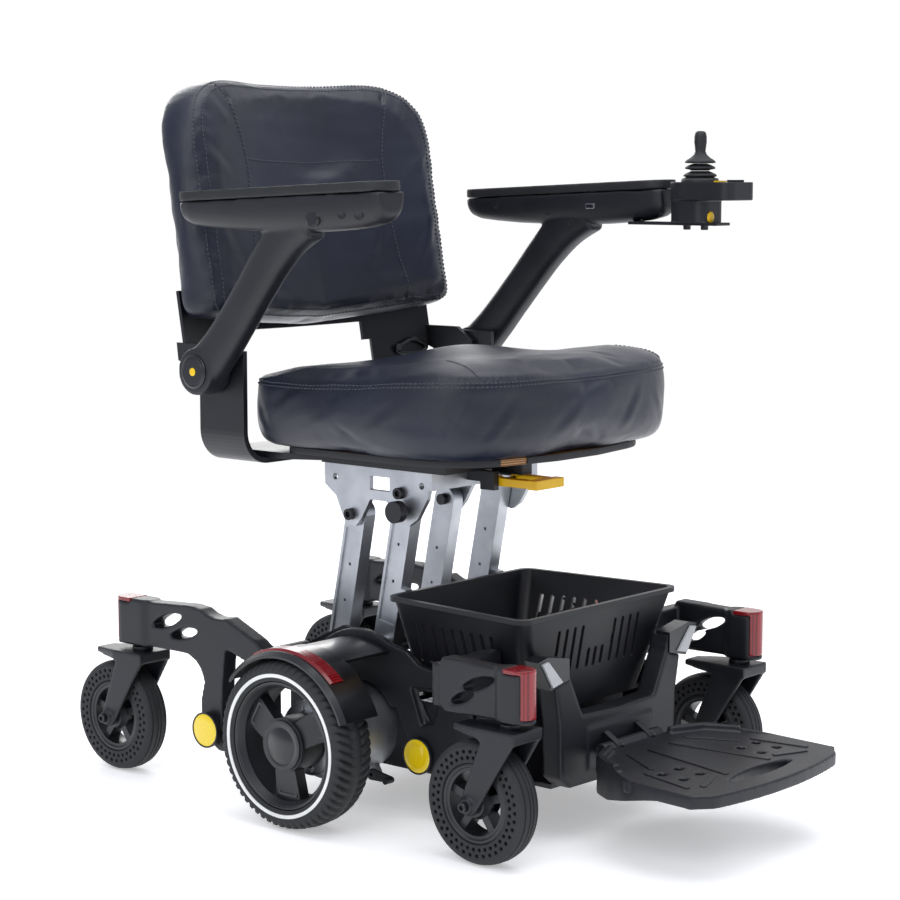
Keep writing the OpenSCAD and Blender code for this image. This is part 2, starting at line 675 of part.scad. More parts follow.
module release_lever() color(signal_yellow) at_axle() {
  z = lever_pivot[1];
  difference() {
    union() {
      both_sides() box([14, -178, z - 5], [28, lever_pivot[0] + 2, z + 5]);
      box([-28, -188, z - 6], [28, -174, z + 6]);
      both_sides() xcyl(lever_pivot, 14, 14, 7);
    }
    xcyl(lever_pivot, -40, 80, 3 + run_fit);
  }
}

module seat_plate() color(jet) at_axle() {
  half_front = bracket_out;
  half_rear = side_x - 42;
  difference() {
    union() {
      translate([0, 0, seat_plate_z]) linear_extrude(seat_plate_t) polygon(mirrored([
        [half_front, -104], [half_rear, 82], [half_rear, 192]]));
      box([-half_front, -104, bracket_top], [half_front, 110, seat_plate_z]);
      box([-10, -150, lever_pivot[1] + 9], [10, -100, seat_plate_z]);
    }
    for (y = [-70, 40], x = [-70, 70])
      translate([x, y, bracket_top - 1]) cylinder(h = 40, r = 4);
  }
  both_sides() box([28 + side_gap, lever_pivot[0] - 9, lever_pivot[1] - 10],
    [38, lever_pivot[0] + 14, bracket_top]);
  both_sides() box([28 + side_gap, lever_pivot[0] + 14, bracket_top - 14], [38, -82, bracket_top]);
  both_sides() box([28 + side_gap, -104, bracket_top - 0.01], [38, -100, bracket_top]);
  xcyl(lever_pivot, -28 - side_gap, 2 * (28 + side_gap), 3);
}

module seat_cushion() color(navy) at_axle() translate([0, 0, cushion_z]) hull() {
  linear_extrude(1) seat_slice(26);
  translate([0, 0, 22]) linear_extrude(1) seat_slice(0);
  translate([0, 0, seat_h - 8]) linear_extrude(1) seat_slice(4);
  translate([0, 0, seat_h + seat_crown - 10]) linear_extrude(1) seat_slice(52);
  translate([0, -60, seat_h + seat_crown - 1]) linear_extrude(1) seat_slice(150);
}
module seat_board() color("burlywood") at_axle()
  translate([0, 0, cushion_z - seat_board_t]) linear_extrude(seat_board_t) seat_slice(34);
// Plan of the seat cushion, drawn in from its widest outline
module seat_slice(inset) hull() for (s = [-1, 1]) {
  w = seat_w / 2 - inset;
  translate([s * (w - 96), -seat_front + 108 + inset]) circle(r = 96, $fn = 32);
  translate([s * 40, -seat_front + 30 + inset]) circle(r = 30, $fn = 20);
  translate([s * (w - 30), seat_rear - 30 - inset]) circle(r = 30, $fn = 20);
}

// Each side bracket rises from under the seat and carries one backrest and armrest pivot
module side_brackets() color(jet) at_axle() both_sides() {
  bend = 42;
  c = [side_x - bend, seat_plate_z - side_bracket_t + bend];
  y0 = arm_pivot_y - side_bracket_d / 2 - 10;
  difference() {
    translate([0, y0 + side_bracket_d, 0]) rotate([90, 0, 0]) linear_extrude(side_bracket_d)
      polygon(concat([[90, seat_plate_z - side_bracket_t]], arc(c, bend, 270, 360),
        [[side_x, arm_pivot_z + 26], [side_x - side_bracket_t, arm_pivot_z + 26]],
        arc(c, bend - side_bracket_t, 360, 270), [[90, seat_plate_z]]));
    xcyl([arm_pivot_y, arm_pivot_z], side_x - 20, 30, arm_pin_r);
  }
  xcyl([arm_pivot_y, arm_pivot_z], hinge_plate_x, side_x + 28 - hinge_plate_x, arm_pin_r);
}

/* ---- Backrest ---- */
module reclined() translate([0, back_base[0], back_base[1]]) rotate([-back_recline, 0, 0]) children();
module back_outline(w, inset) hull() for (s = [-1, 1]) {
  translate([s * (w - 20), 14 + inset]) circle(r = 14, $fn = 24);
  translate([s * (w - 102), back_h - 100]) circle(r = 100 - inset, $fn = 48);
}
// An upright shell curved round the user, cut to the outline of its children
module curved_slab(r_in, t) intersection() {
  translate([0, -back_curve_r, -60]) difference() {
    cylinder(h = back_h + 80, r = r_in + t, $fn = 180);
    translate([0, 0, -1]) cylinder(h = back_h + 82, r = r_in, $fn = 180);
  }
  xz(150, 300) children();
}
module backrest_cushion() color(navy) at_axle() reclined()
  curved_slab(back_curve_r, back_t) back_outline(233, 0);

module backrest_frame() color(jet) at_axle() {
  leg_in = 128;
  plate_out = hinge_plate_x + hinge_plate_t;
  difference() {
    union() {
      reclined() curved_slab(back_curve_r + back_t + 0.4, 5) {
        translate([-190, 0]) square([380, back_h - 70]);
        for (x = [1 - plate_out, leg_in]) translate([x, -26]) square([plate_out - 1 - leg_in, 80]);
      }
      both_sides() yz(hinge_plate_x, hinge_plate_t) polygon(concat(
        arc([arm_pivot_y, arm_pivot_z], 22, 180, 315, 8),
        [[back_base[0] + 40, arm_pivot_z + 8], [back_base[0] + 43, back_base[1] - 19],
         [back_base[0] - 30, back_base[1] - 19], [arm_pivot_y - 21, arm_pivot_z + 12]]));
    }
    xcyl([arm_pivot_y, arm_pivot_z], -300, 600, arm_pin_r + run_fit);
  }
}

/* ---- Armrests ---- */
// Frame of an armrest pad: its top face at Y = 0, sloping up to the front
module on_pad() translate([pad_x, 0, pad_top]) rotate([-pad_slope, 0, 0]) children();
module pad_outline(w, front, rear) hull() {
  translate([0, -front + w / 2]) circle(r = w / 2, $fn = 32);
  translate([0, rear - w / 2]) circle(r = w / 2, $fn = 32);
}
module armrest_pad(side) color(jet) at_axle() on_side(side) on_pad()
  translate([0, 0, -pad_t]) linear_extrude(pad_t) pad_outline(pad_w, pad_l - pad_rear, pad_rear);
module armrest_pad_left() armrest_pad(LEFT);
module armrest_pad_right() armrest_pad(RIGHT);

module armrest_arm(side) color(charcoal) at_axle() on_side(side) difference() {
  union() {
    hull() {
      xcyl([arm_pivot_y, arm_pivot_z], arm_x, arm_t, 30, $fn = 32);
      xcyl([-22, shroud_z + 4], arm_x + 4, arm_t - 4, 25, $fn = 32);
    }
    hull() {
      on_pad() translate([0, 0, -pad_t - 1]) linear_extrude(1)
        pad_outline(pad_w - 6, pad_l - pad_rear - 4, 60);
      box([arm_x + 6, 8 - pad_l + pad_rear, shroud_z], [arm_x + arm_t, 10, shroud_z + 2]);
    }
    hull() {
      on_pad() translate([0, 0, -pad_t - 1]) linear_extrude(1)
        pad_outline(pad_w - 6, 0, pad_rear - 5);
      box([arm_x + 6, -60, shroud_z + 4], [arm_x + arm_t, 30, shroud_z + 8]);
    }
  }
  xcyl([arm_pivot_y, arm_pivot_z], arm_x - 1, 30, arm_pin_r + run_fit);
  for (y = [-150, -125]) xcyl([y, shroud_z + 20], arm_x + arm_t - 10, 30, accessory_bore_r);
}
accessory_bore_r = 4;
module armrest_arm_left() armrest_arm(LEFT);
module armrest_arm_right() armrest_arm(RIGHT);

/* ---- Joystick ---- */
module pod_outline(w, front) hull() {
  translate([0, pod_rear - w / 2]) circle(r = w / 2, $fn = 40);
  for (s = [-1, 1]) translate([s * (w / 2 - 14), -front + 14]) circle(r = 14, $fn = 24);
}
module joystick_housing() color(jet) at_axle() translate([pod_x, 0, 0]) {
  difference() {
    union() {
      translate([0, 0, pod_z + pod_h * 0.55]) linear_extrude(pod_h * 0.45)
        pod_outline(pod_w, -pod_rear + pod_l);
      translate([0, 0, pod_z]) linear_extrude(pod_h * 0.56)
        pod_outline(pod_w - 12, -pod_rear + 63);
      translate([0, stick_y, pod_z + pod_h - 1]) cylinder(h = collar_h + 1, r = 24);
    }
    translate([0, stick_y, pod_z + pod_h - 18]) cylinder(h = 40, r = 20);
    translate([-9, button_y - 5, pod_z + pod_h - 8]) cube([18, 10, 20]);
    translate([-13, rocker_y - 6, pod_z + pod_h - 10]) cube([26, 12, 20]);
  }
  for (s = [-1, 1]) xcyl([stick_y, stick_z], s * 16.5 - 3.5, 7, 1.5);
  difference() {
    box([-16, pod_rear - 78, pod_z - 4], [16, -118, pod_z]);
    for (y = [-130, -165]) translate([0, y, pod_z - 5]) cylinder(h = 6, r = 2.6);
  }
  for (y = [pod_rear - 20, pod_rear - 48]) translate([0, y, pod_z - 10]) cylinder(h = 6, r = 5);
}
// Ring that rocks fore and aft on the housing's two pins and carries the stick's cross pins
module joystick_gimbal() color(jet) at_axle() translate([pod_x, stick_y, stick_z]) {
  difference() {
    union() {
      translate([0, 0, -4]) cylinder(h = 8, r = 12.6);
      rotate_extrude() polygon([[10, 4], [12, 4], [12, 12], [17, 15], [12, 18], [10, 18]]);
    }
    translate([0, 0, -5]) cylinder(h = 40, r = 9.6);
    rotate([0, 90, 0]) translate([0, 0, -20]) cylinder(h = 40, r = 1.5 + run_fit);
    rotate([90, 0, 0]) translate([0, 0, -20]) cylinder(h = 40, r = 1.5 + run_fit);
  }
}
module joystick_stick() color(jet) at_axle() translate([pod_x, stick_y, stick_z]) {
  difference() {
    rotate_extrude() polygon([[0, -5], [5, -5], [5, 4], [3.4, 7], [3.4, 23], [14, 22.5],
      [19.5, 22.5], [19.5, 24], [8, 34], [6.6, 42], [7.8, 50], [7.8, stick_h - 4],
      [5, stick_h], [0, stick_h]]);
    rotate([90, 0, 0]) translate([0, 0, -20]) cylinder(h = 40, r = 1.5);
  }
  rotate([90, 0, 0]) translate([0, 0, -12.4]) cylinder(h = 24.8, r = 1.5);
}
module power_button() color(signal_yellow) at_axle()
  translate([pod_x - 9 + side_gap, button_y - 5 + side_gap, pod_z + pod_h - 5])
    cube([18 - 2 * side_gap, 10 - 2 * side_gap, 7]);
module speed_rocker() color(silver) at_axle() translate([pod_x, rocker_y, pod_z + pod_h]) hull() {
  box([-13 + side_gap, -4, -4], [13 - side_gap, 4, -3]);
  box([-13 + side_gap, -5, 2], [13 - side_gap, 5, 3]);
}

/* ---- Footplate ---- */
plate_drop = 1.5;
hinge = [-cowl_front - 3 - 13, footplate_hinge_z];
hinge_pin_r = 5;
module footplate_hinge() color(jet) at_axle() {
  both_sides() hull() {
    xcyl(hinge, 28, 10, 9, $fn = 32);
    box([28, -cowl_front - 4, hinge[1] - 18], [38, -cowl_front - 3, hinge[1] + 18]);
  }
  xcyl(hinge, -60, 120, hinge_pin_r);
}
module footplate() color(charcoal) at_axle() translate([0, hinge[0], hinge[1]])
  rotate([plate_drop, 0, 0]) {
    w = footplate_w / 2;
    reach = (footplate_reach + hinge[0]) / cos(plate_drop) - (footplate_t - 3) * tan(plate_drop);
    outline = mirrored(concat([[60, -12], [w - 44, -30], [w - 20, -74], [w - 2, -106], [w, -reach + 34],
      [w - 22, -reach + 16]], [for (i = [6 : -1 : 0]) [(w - 30) * i / 6, -reach + 13 * pow(i / 6, 2)]]));
    difference() {
      union() {
        translate([0, 0, 3 - footplate_t]) linear_extrude(footplate_t) polygon(outline);
        both_sides() translate([0, 0, 2]) linear_extrude(9)
          polygon([[60, -12], [w - 44, -30], [w - 20, -74], [w - 28, -78], [w - 50, -38], [60, -20]]);
        xcyl([0, 0], -27.5, 55, 9);
        box([-27.5, -20, -9], [27.5, -2, 3]);
        both_sides() {
          xcyl([0, 0], 38.5, 21.5, 9);
          box([38.5, -20, -9], [60, -2, 3]);
        }
      }
      xcyl([0, 0], -70, 140, hinge_pin_r + run_fit);
      for (x = [-100, -66, 66, 100], y = [-120, -150])
        translate([x - 6, y - 5, -30]) cube([12, 10, 50]);
      translate([0, -reach + 40, -30]) linear_extrude(60) polygon(concat(
        [for (i = [-4 : 4]) [16 * i, 12 - 0.6 * i * i]],
        [for (i = [4 : -1 : -4]) [16 * i, -12 + 0.5 * i * i]]));
      for (s = [-1, 1]) box([min(s * 28, s * 38), -11, -20], [max(s * 28, s * 38), 20, 20]);
    }
  }

chassis_frame();
side_panels();
rear_arm_left();
rear_arm_right();
front_arm_left();
front_arm_right();
drive_fenders();
fender_lenses();
corner_lenses();
side_reflectors();
front_cowl();
headlight_housings();
headlight_lenses();
basket();
motor_left();
motor_right();
battery_pack();
motor_controller();
lower_pivot_shafts();
footplate_hinge();
footplate();
drive_tyre_left();
drive_tyre_right();
drive_rim_left();
drive_rim_right();
freewheel_lever_left();
freewheel_lever_right();
caster_fork_front_left();
caster_fork_front_right();
caster_fork_rear_left();
caster_fork_rear_right();
caster_rim_front_left();
caster_rim_front_right();
caster_rim_rear_left();
caster_rim_rear_right();
caster_tyre_front_left();
caster_tyre_front_right();
caster_tyre_rear_left();
caster_tyre_rear_right();
lift_arms_rear();
lift_arms_front();
seat_brackets();
upper_pivot_bolts();
lock_knob();
release_lever();
seat_plate();
seat_board();
seat_cushion();
side_brackets();
backrest_frame();
backrest_cushion();
armrest_arm_left();
armrest_arm_right();
armrest_pad_left();
armrest_pad_right();
joystick_housing();
joystick_gimbal();
joystick_stick();
power_button();
speed_rocker();
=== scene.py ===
"""Compact power wheelchair on a folding seat lift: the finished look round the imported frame.

Lengths in this file are millimetres from the drive axle's plane (Y), the centre plane (X) and
the floor (Z). at_axle() turns them into the frame's metres.
"""
import json
import math

import bmesh
import bpy
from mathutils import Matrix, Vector, noise
from mathutils.bvhtree import BVHTree
from mathutils.kdtree import KDTree


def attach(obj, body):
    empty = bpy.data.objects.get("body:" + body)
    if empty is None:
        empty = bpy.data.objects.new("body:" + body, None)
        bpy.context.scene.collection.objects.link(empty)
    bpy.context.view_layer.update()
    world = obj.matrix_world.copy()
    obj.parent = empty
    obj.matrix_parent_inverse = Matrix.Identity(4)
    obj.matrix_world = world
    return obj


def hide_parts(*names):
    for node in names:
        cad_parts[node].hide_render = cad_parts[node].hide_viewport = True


with open("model.json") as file:
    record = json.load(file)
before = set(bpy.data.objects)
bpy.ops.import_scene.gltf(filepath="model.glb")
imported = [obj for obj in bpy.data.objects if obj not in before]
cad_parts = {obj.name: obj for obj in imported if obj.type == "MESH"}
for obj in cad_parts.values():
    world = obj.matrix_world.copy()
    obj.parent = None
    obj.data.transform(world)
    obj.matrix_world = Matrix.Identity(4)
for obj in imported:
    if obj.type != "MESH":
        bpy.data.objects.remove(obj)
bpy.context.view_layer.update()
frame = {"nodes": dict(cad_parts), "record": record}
NODES = frame["nodes"]
LEFT, RIGHT = 1, -1
SIDES = ((LEFT, "left"), (RIGHT, "right"))
AXLE_Y = 45.5
MM = 0.001
DRIVE_R, DRIVE_X = 107.5, 270
CASTER_R, CASTER_TRAIL, CASTER_HALF_W = 75.0, 43, 17.5
STEMS = (("front", 237, -319), ("rear", 219, 339))
SEAT_HALF_W, SEAT_MIDDLE_Y, BOARD_TOP = 233.0, -74, 466.0
PAD_TOP, PAD_SLOPE, ARM_PIVOT = 794, 2.5, (160, 561)
HINGE_Y, HINGE_Z, PLATE_DROP = -316, 108, 1.5


def at_axle(x, y, z):
    """A point of the drawing, in the frame's metres."""
    return Vector((x * MM, (y + AXLE_Y) * MM, z * MM))


# ---------------------------------------------------------------- camera, light and floor
def place_camera():
    azimuth, elevation = math.radians(-49.23), math.radians(6.87)
    back = Vector((math.sin(azimuth) * math.cos(elevation),
                   -math.cos(azimuth) * math.cos(elevation), math.sin(elevation)))
    lens = bpy.data.cameras.new("camera")
    lens.lens, lens.sensor_width = 92.0, 36.0
    lens.clip_start, lens.clip_end = 0.05, 60.0
    camera = bpy.data.objects.new("camera", lens)
    camera.location = (-2.2626, -1.9261, 0.8100)
    camera.rotation_euler = back.to_track_quat("Z", "Y").to_euler()
    bpy.context.scene.collection.objects.link(camera)
    bpy.context.scene.camera = camera


def soft_box(name, place, aim, size, power):
    """A large diffuse studio light that looks from place to aim."""
    light = bpy.data.lights.new(name, "AREA")
    light.shape, light.size, light.size_y = "RECTANGLE", size[0], size[1]
    light.energy = power
    lamp = bpy.data.objects.new(name, light)
    lamp.location = place
    lamp.rotation_euler = (Vector(place) - Vector(aim)).to_track_quat("Z", "Y").to_euler()
    bpy.context.scene.collection.objects.link(lamp)


def studio():
    bpy.context.scene.view_settings.view_transform = "Standard"
    soft_box("key_left", (-3.4, -1.0, 2.6), (0, 0, 0.5), (2.4, 2.4), 50)
    soft_box("overhead", (0.2, -0.4, 3.4), (0, 0, 0.4), (3.2, 3.2), 78)
    soft_box("front_fill", (0.6, -3.8, 1.5), (0, 0, 0.5), (2.6, 2.0), 4)
    soft_box("rear_rim", (1.8, 3.0, 2.0), (0, 0, 0.6), (2.0, 2.0), 50)
    world = bpy.data.worlds.new("studio")
    bpy.context.scene.world = world
    world.use_nodes = True
    tree = world.node_tree
    place = add(tree, "TexCoord")
    # White cyclorama on the far side, a dimmer and bluer room on the near side
    facing = add(tree, "VectorMath", {"operation": "DOT_PRODUCT", 1: (0.752, 0.648, -0.12)},
                 _0=place.outputs["Generated"])
    share = add(tree, "MapRange", {"From Min": 0.1, "From Max": 0.9},
                Value=facing.outputs["Value"])
    ramp = add(tree, "ValToRGB", {}, Fac=share.outputs["Result"])
    first, last = ramp.color_ramp.elements
    first.color, last.color = (0.50, 0.53, 0.62, 1), (1.02, 1.02, 1.02, 1)
    tree.links.new(ramp.outputs["Color"], tree.nodes["Background"].inputs["Color"])
    bpy.ops.mesh.primitive_circle_add(radius=3.2, vertices=96, fill_type="NGON",
                                      location=(0, 0, -0.0006))
    floor = bpy.context.object
    floor.name = "studio_floor"
    floor.data.materials.append(pale_floor())


# ---------------------------------------------------------------- materials
def linear(code):
    """An sRGB hex colour as linear RGBA."""
    channels = [int(code[i:i + 2], 16) / 255 for i in (1, 3, 5)]
    return (*[c / 12.92 if c <= 0.04045 else ((c + 0.055) / 1.055) ** 2.4 for c in channels], 1.0)


def add(tree, kind, settings=None, **links):
    """Adds a shader node, gives its settings and sockets their values, and links sockets in."""
    node = tree.nodes.new("ShaderNode" + kind)
    for key, value in (settings or {}).items():
        if isinstance(key, int) or key in node.inputs:
            node.inputs[key].default_value = value
        else:
            setattr(node, key, value)
    for key, source in links.items():
        socket = node.inputs[int(key[1:])] if key[0] == "_" else node.inputs[key.replace("_", " ")]
        tree.links.new(source, socket)
    return node


def new_finish(name, settings):
    """A material with its shader's uniform values; returns the material, its tree and shader."""
    material = bpy.data.materials.new(name)
    material.use_nodes = True
    tree = material.node_tree
    shader = tree.nodes["Principled BSDF"]
    for key, value in settings.items():
        shader.inputs[key].default_value = value
    return material, tree, shader


def part_space(tree, scale_mm):
    """Object coordinates, scaled so that a pattern's unit is scale_mm."""
    place = add(tree, "TexCoord")
    return add(tree, "Mapping", {"Scale": (1000 / scale_mm,) * 3},
               Vector=place.outputs["Object"]).outputs["Vector"]


def speckle(tree, scale_mm, detail, roughness=0.5):
    """Noise whose patches are about scale_mm across."""
    return add(tree, "TexNoise", {"Scale": 1.0, "Detail": detail, "Roughness": roughness},
               Vector=part_space(tree, scale_mm))


def tint(tree, shader, factor, dark, light, low=0.35, high=0.65):
    """The shader's colour runs from dark to light as factor goes from low to high."""
    ramp = add(tree, "ValToRGB", {}, Fac=factor)
    first, last = ramp.color_ramp.elements
    first.position, last.position = low, high
    first.color, last.color = linear(dark), linear(light)
    tree.links.new(ramp.outputs["Color"], shader.inputs["Base Color"])


def polish(tree, shader, factor, low, high):
    """The shader's roughness runs from low to high as factor goes from 0 to 1."""
    span = add(tree, "MapRange", {"To Min": low, "To Max": high}, Value=factor)
    tree.links.new(span.outputs["Result"], shader.inputs["Roughness"])


def relief(tree, shader, height, depth_mm, strength=1.0, edge_mm=0.0):
    """Bumps the shader's normal by a height pattern, over edges eased by edge_mm."""
    bump = add(tree, "Bump", {"Distance": depth_mm * MM, "Strength": strength}, Height=height)
    if edge_mm:
        eased = add(tree, "Bevel", {"samples": 4, "Radius": edge_mm * MM})
        tree.links.new(eased.outputs["Normal"], bump.inputs["Normal"])
    tree.links.new(bump.outputs["Normal"], shader.inputs["Normal"])


def pale_floor():
    """White floor with a little light of its own: only a faint contact shadow is left."""
    material, tree, shader = new_finish("backlit_white_acrylic", {
        "Roughness": 0.9, "Emission Color": (1, 1, 1, 1), "Emission Strength": 0.36})
    soft = add(tree, "TexNoise", {"Scale": 3.0, "Detail": 2.0})
    tint(tree, shader, soft.outputs["Fac"], "#f3f3f3", "#f7f7f7")
    return material


def moulded(name, dark, light, roughness, grain_mm, depth_mm, edge_mm=0.9, coat=0.0):
    """A moulded or coated surface: fine grain, slow mottling and slightly polished high spots."""
    material, tree, shader = new_finish(
        name, {"IOR": 1.5, "Coat Weight": coat, "Coat Roughness": 0.12})
    grain = speckle(tree, grain_mm, 3.0, 0.6)
    mottle = speckle(tree, 60, 4.0)
    tint(tree, shader, mottle.outputs["Fac"], dark, light)
    polish(tree, shader, mottle.outputs["Fac"], roughness - 0.06, roughness + 0.06)
    relief(tree, shader, grain.outputs["Fac"], depth_mm, 0.6, edge_mm)
    return material


def metal(name, dark, light, roughness, grain_mm, depth_mm, edge_mm=0.6):
    """A bare or anodised metal whose blasted or cast grain breaks up the reflections."""
    material, tree, shader = new_finish(name, {"Metallic": 1.0})
    grain = speckle(tree, grain_mm, 4.0, 0.65)
    mottle = speckle(tree, 35, 3.0)
    tint(tree, shader, mottle.outputs["Fac"], dark, light)
    polish(tree, shader, grain.outputs["Fac"], roughness - 0.08, roughness + 0.08)
    relief(tree, shader, grain.outputs["Fac"], depth_mm, 0.5, edge_mm)
    return material


def leatherette():
    """PVC-coated fabric, calendered: pebbled grain about 1.3 mm across with fine creases
    between the pebbles, navy so dark that it reads black in shade, with a soft satin gloss."""
    material, tree, shader = new_finish(
        "calendered_pvc_leatherette",
        {"IOR": 1.5, "Sheen Weight": 0.04, "Sheen Roughness": 0.45,
         "Sheen Tint": linear("#8d97b4")})
    space = part_space(tree, 1.3)
    wobble = add(tree, "TexNoise", {"Scale": 0.9, "Detail": 2.0}, Vector=space)
    drift = add(tree, "VectorMath", {"operation": "SCALE", "Scale": 0.9},
                _0=wobble.outputs["Color"])
    moved = add(tree, "VectorMath", {"operation": "ADD"}, _0=space, _1=drift.outputs["Vector"])
    pebbles = add(tree, "TexVoronoi", {"feature": "DISTANCE_TO_EDGE", "Scale": 1.0},
                  Vector=moved.outputs["Vector"])
    rounded = add(tree, "MapRange", {"From Max": 0.22}, Value=pebbles.outputs["Distance"])
    creases = add(tree, "TexNoise", {"Scale": 1.0, "Detail": 5.0, "Roughness": 0.6,
                                     "Distortion": 0.8}, Vector=part_space(tree, 42))
    wear = speckle(tree, 120, 3.0)
    tint(tree, shader, wear.outputs["Fac"], "#0c1020", "#141a2c")
    polish(tree, shader, creases.outputs["Fac"], 0.24, 0.38)
    slow = add(tree, "Bump", {"Distance": 1.4 * MM, "Strength": 0.35},
               Height=creases.outputs["Fac"])
    fine = add(tree, "Bump", {"Distance": 0.16 * MM, "Strength": 0.55},
               Height=rounded.outputs["Result"], Normal=slow.outputs["Normal"])
    tree.links.new(fine.outputs["Normal"], shader.inputs["Normal"])
    return material


def thread():
    """Twisted polyester thread: its plies, 0.8 mm apart, catch the light as short slants."""
    material, tree, shader = new_finish("bonded_polyester_thread",
                                        {"Roughness": 0.6, "Sheen Weight": 0.2})
    plies = add(tree, "TexWave", {"Scale": 1.0, "Distortion": 1.5},
                Vector=part_space(tree, 2.6))
    tint(tree, shader, plies.outputs["Fac"], "#1d1f28", "#3b3f4c")
    relief(tree, shader, plies.outputs["Fac"], 0.2)
    return material


def rubber():
    """Carbon-filled solid rubber: matt charcoal, with mould bloom in slow patches."""
    material, tree, shader = new_finish("solid_carbon_rubber", {"IOR": 1.52})
    grain = speckle(tree, 1.6, 4.0)
    bloom = speckle(tree, 45, 3.0)
    tint(tree, shader, bloom.outputs["Fac"], "#17181a", "#202124")
    polish(tree, shader, bloom.outputs["Fac"], 0.58, 0.78)
    relief(tree, shader, grain.outputs["Fac"], 0.25, 0.5, 0.8)
    return material


def lamp_plastic():
    """Red PMMA lamp cover: deep colour, glossy outer face, ribs 3 mm apart behind it."""
    material, tree, shader = new_finish(
        "moulded_red_acrylic", {"IOR": 1.49, "Roughness": 0.20, "Coat Weight": 0.3,
                                "Coat Roughness": 0.08, "Subsurface Weight": 0.1})
    ribs = add(tree, "TexWave", {"Scale": 1.0, "bands_direction": "Y"},
               Vector=part_space(tree, 9.5))
    tint(tree, shader, ribs.outputs["Fac"], "#5c050c", "#8c0e19", 0.2, 0.8)
    relief(tree, shader, ribs.outputs["Fac"], 0.12, 0.4, 1.2)
    return material


def reflector_plastic():
    """Fluorescent yellow retroreflector: moulded prisms in a 3.2 mm diamond lattice."""
    material, tree, shader = new_finish(
        "prismatic_yellow_reflector", {"IOR": 1.49, "Roughness": 0.22, "Coat Weight": 0.8,
                                       "Coat Roughness": 0.04})
    place = add(tree, "TexCoord")
    turned = add(tree, "Mapping", {"Rotation": (math.radians(45), 0, 0),
                                   "Scale": (1000 / 3.2,) * 3},
                 Vector=place.outputs["Object"])
    cells = add(tree, "TexVoronoi", {"Scale": 1.0, "Randomness": 0.0, "distance": "CHEBYCHEV"},
                Vector=turned.outputs["Vector"])
    tint(tree, shader, cells.outputs["Distance"], "#ffe500", "#d9b400", 0.1, 0.6)
    relief(tree, shader, cells.outputs["Distance"], 0.5, 0.7)
    return material


def clear_cover():
    """Clear polycarbonate lamp glass, thin and slightly tinted at its edges."""
    material, tree, shader = new_finish(
        "clear_polycarbonate", {"IOR": 1.58, "Transmission Weight": 0.55, "Roughness": 0.04,
                                "Coat Weight": 0.5})
    flutes = add(tree, "TexWave", {"Scale": 1.0, "bands_direction": "X"},
                 Vector=part_space(tree, 7))
    tint(tree, shader, flutes.outputs["Fac"], "#eef3f6", "#ffffff")
    relief(tree, shader, flutes.outputs["Fac"], 0.2, 0.35)
    return material


def birch_ply():
    """Birch plywood: veneers 1.4 mm thick show as pale and brown lines along its edge."""
    material, tree, shader = new_finish("birch_plywood", {"Roughness": 0.62})
    veneers = add(tree, "TexWave", {"Scale": 1.0, "bands_direction": "Z", "Distortion": 0.4},
                  Vector=part_space(tree, 9))
    tint(tree, shader, veneers.outputs["Fac"], "#6f4a2a", "#b98a58")
    relief(tree, shader, veneers.outputs["Fac"], 0.15)
    return material


FINISH = {
    # Epoxy powder on steel: satin black, fine orange peel
    "powder_coated_steel": moulded("satin_powder_coat", "#0a0b10", "#101218", 0.40, 1.4, 0.10),
    # Glass-filled nylon: charcoal, spark-eroded mould grain
    "moulded_nylon": moulded("glass_filled_nylon", "#0b0c12", "#12141b", 0.46, 0.9, 0.12, 1.1),
    # ABS with a polished mould: piano black
    "gloss_plastic": moulded("polished_abs", "#0b0c0f", "#111317", 0.30, 3.0, 0.03, 0.8, 0.2),
    # Aluminium sheet, bead-blasted and clear anodised: even silver grey
    "anodised_aluminium": metal("bead_blasted_anodised_aluminium", "#b4b7bc", "#c4c7cb",
                                0.40, 0.9, 0.05),
    # Pressure-cast aluminium: duller, pitted skin
    "cast_aluminium": metal("die_cast_aluminium", "#a9acb0", "#bfc1c4", 0.48, 1.6, 0.14, 1.0),
    # Ground and plated shafts: bright zinc
    "steel_shaft": metal("zinc_plated_steel", "#a3a5a8", "#b9bbbd", 0.26, 2.5, 0.02, 0.4),
    # Battery case: polypropylene with a coarse grain
    "battery_case": moulded("polypropylene", "#1a1b1d", "#222327", 0.58, 1.8, 0.20, 1.5),
    # Caster wheel centres: satin ABS
    "rim_plastic": moulded("satin_abs", "#191a1d", "#232428", 0.40, 1.2, 0.06, 0.8),
    # Release bar and button: yellow ABS
    "yellow_plastic": moulded("yellow_abs", "#e9b800", "#f3c70c", 0.36, 1.2, 0.06, 1.6),
    # Armrest pads and bellows: thermoplastic elastomer, faintly velvety
    "soft_rubber": moulded("soft_touch_elastomer", "#151618", "#1d1e21", 0.60, 0.8, 0.12, 1.4),
    "red_lens": lamp_plastic(),
    "reflector": reflector_plastic(),
    "lamp_lens": clear_cover(),
    "tyre_rubber": rubber(),
    "plywood": birch_ply(),
    "navy_leatherette": leatherette(),
}
THREAD = thread()
WHITE_BAND = moulded("white_rubber_band", "#dcddda", "#ebebe8", 0.5, 0.8, 0.05, 0.3)


def dress_frame():
    """Gives each carried-over node the finish of its slot in the record."""
    for entry in frame["record"]["subparts"]:
        mesh = NODES[entry["node"]].data
        mesh.materials.clear()
        mesh.materials.append(FINISH[entry["material_slot"]])


# ---------------------------------------------------------------- making and fitting pieces
def new_piece(name, points, faces, finish, smooth=60.0):
    """A mesh from drawing points in millimetres; edges sharper than smooth stay crisp."""
    mesh = bpy.data.meshes.new(name)
    mesh.from_pydata([at_axle(*p) for p in points], [], faces)
    mesh.materials.append(finish)
    piece = bpy.data.objects.new(name, mesh)
    bpy.context.scene.collection.objects.link(piece)
    tidy_mesh(mesh, smooth)
    return piece


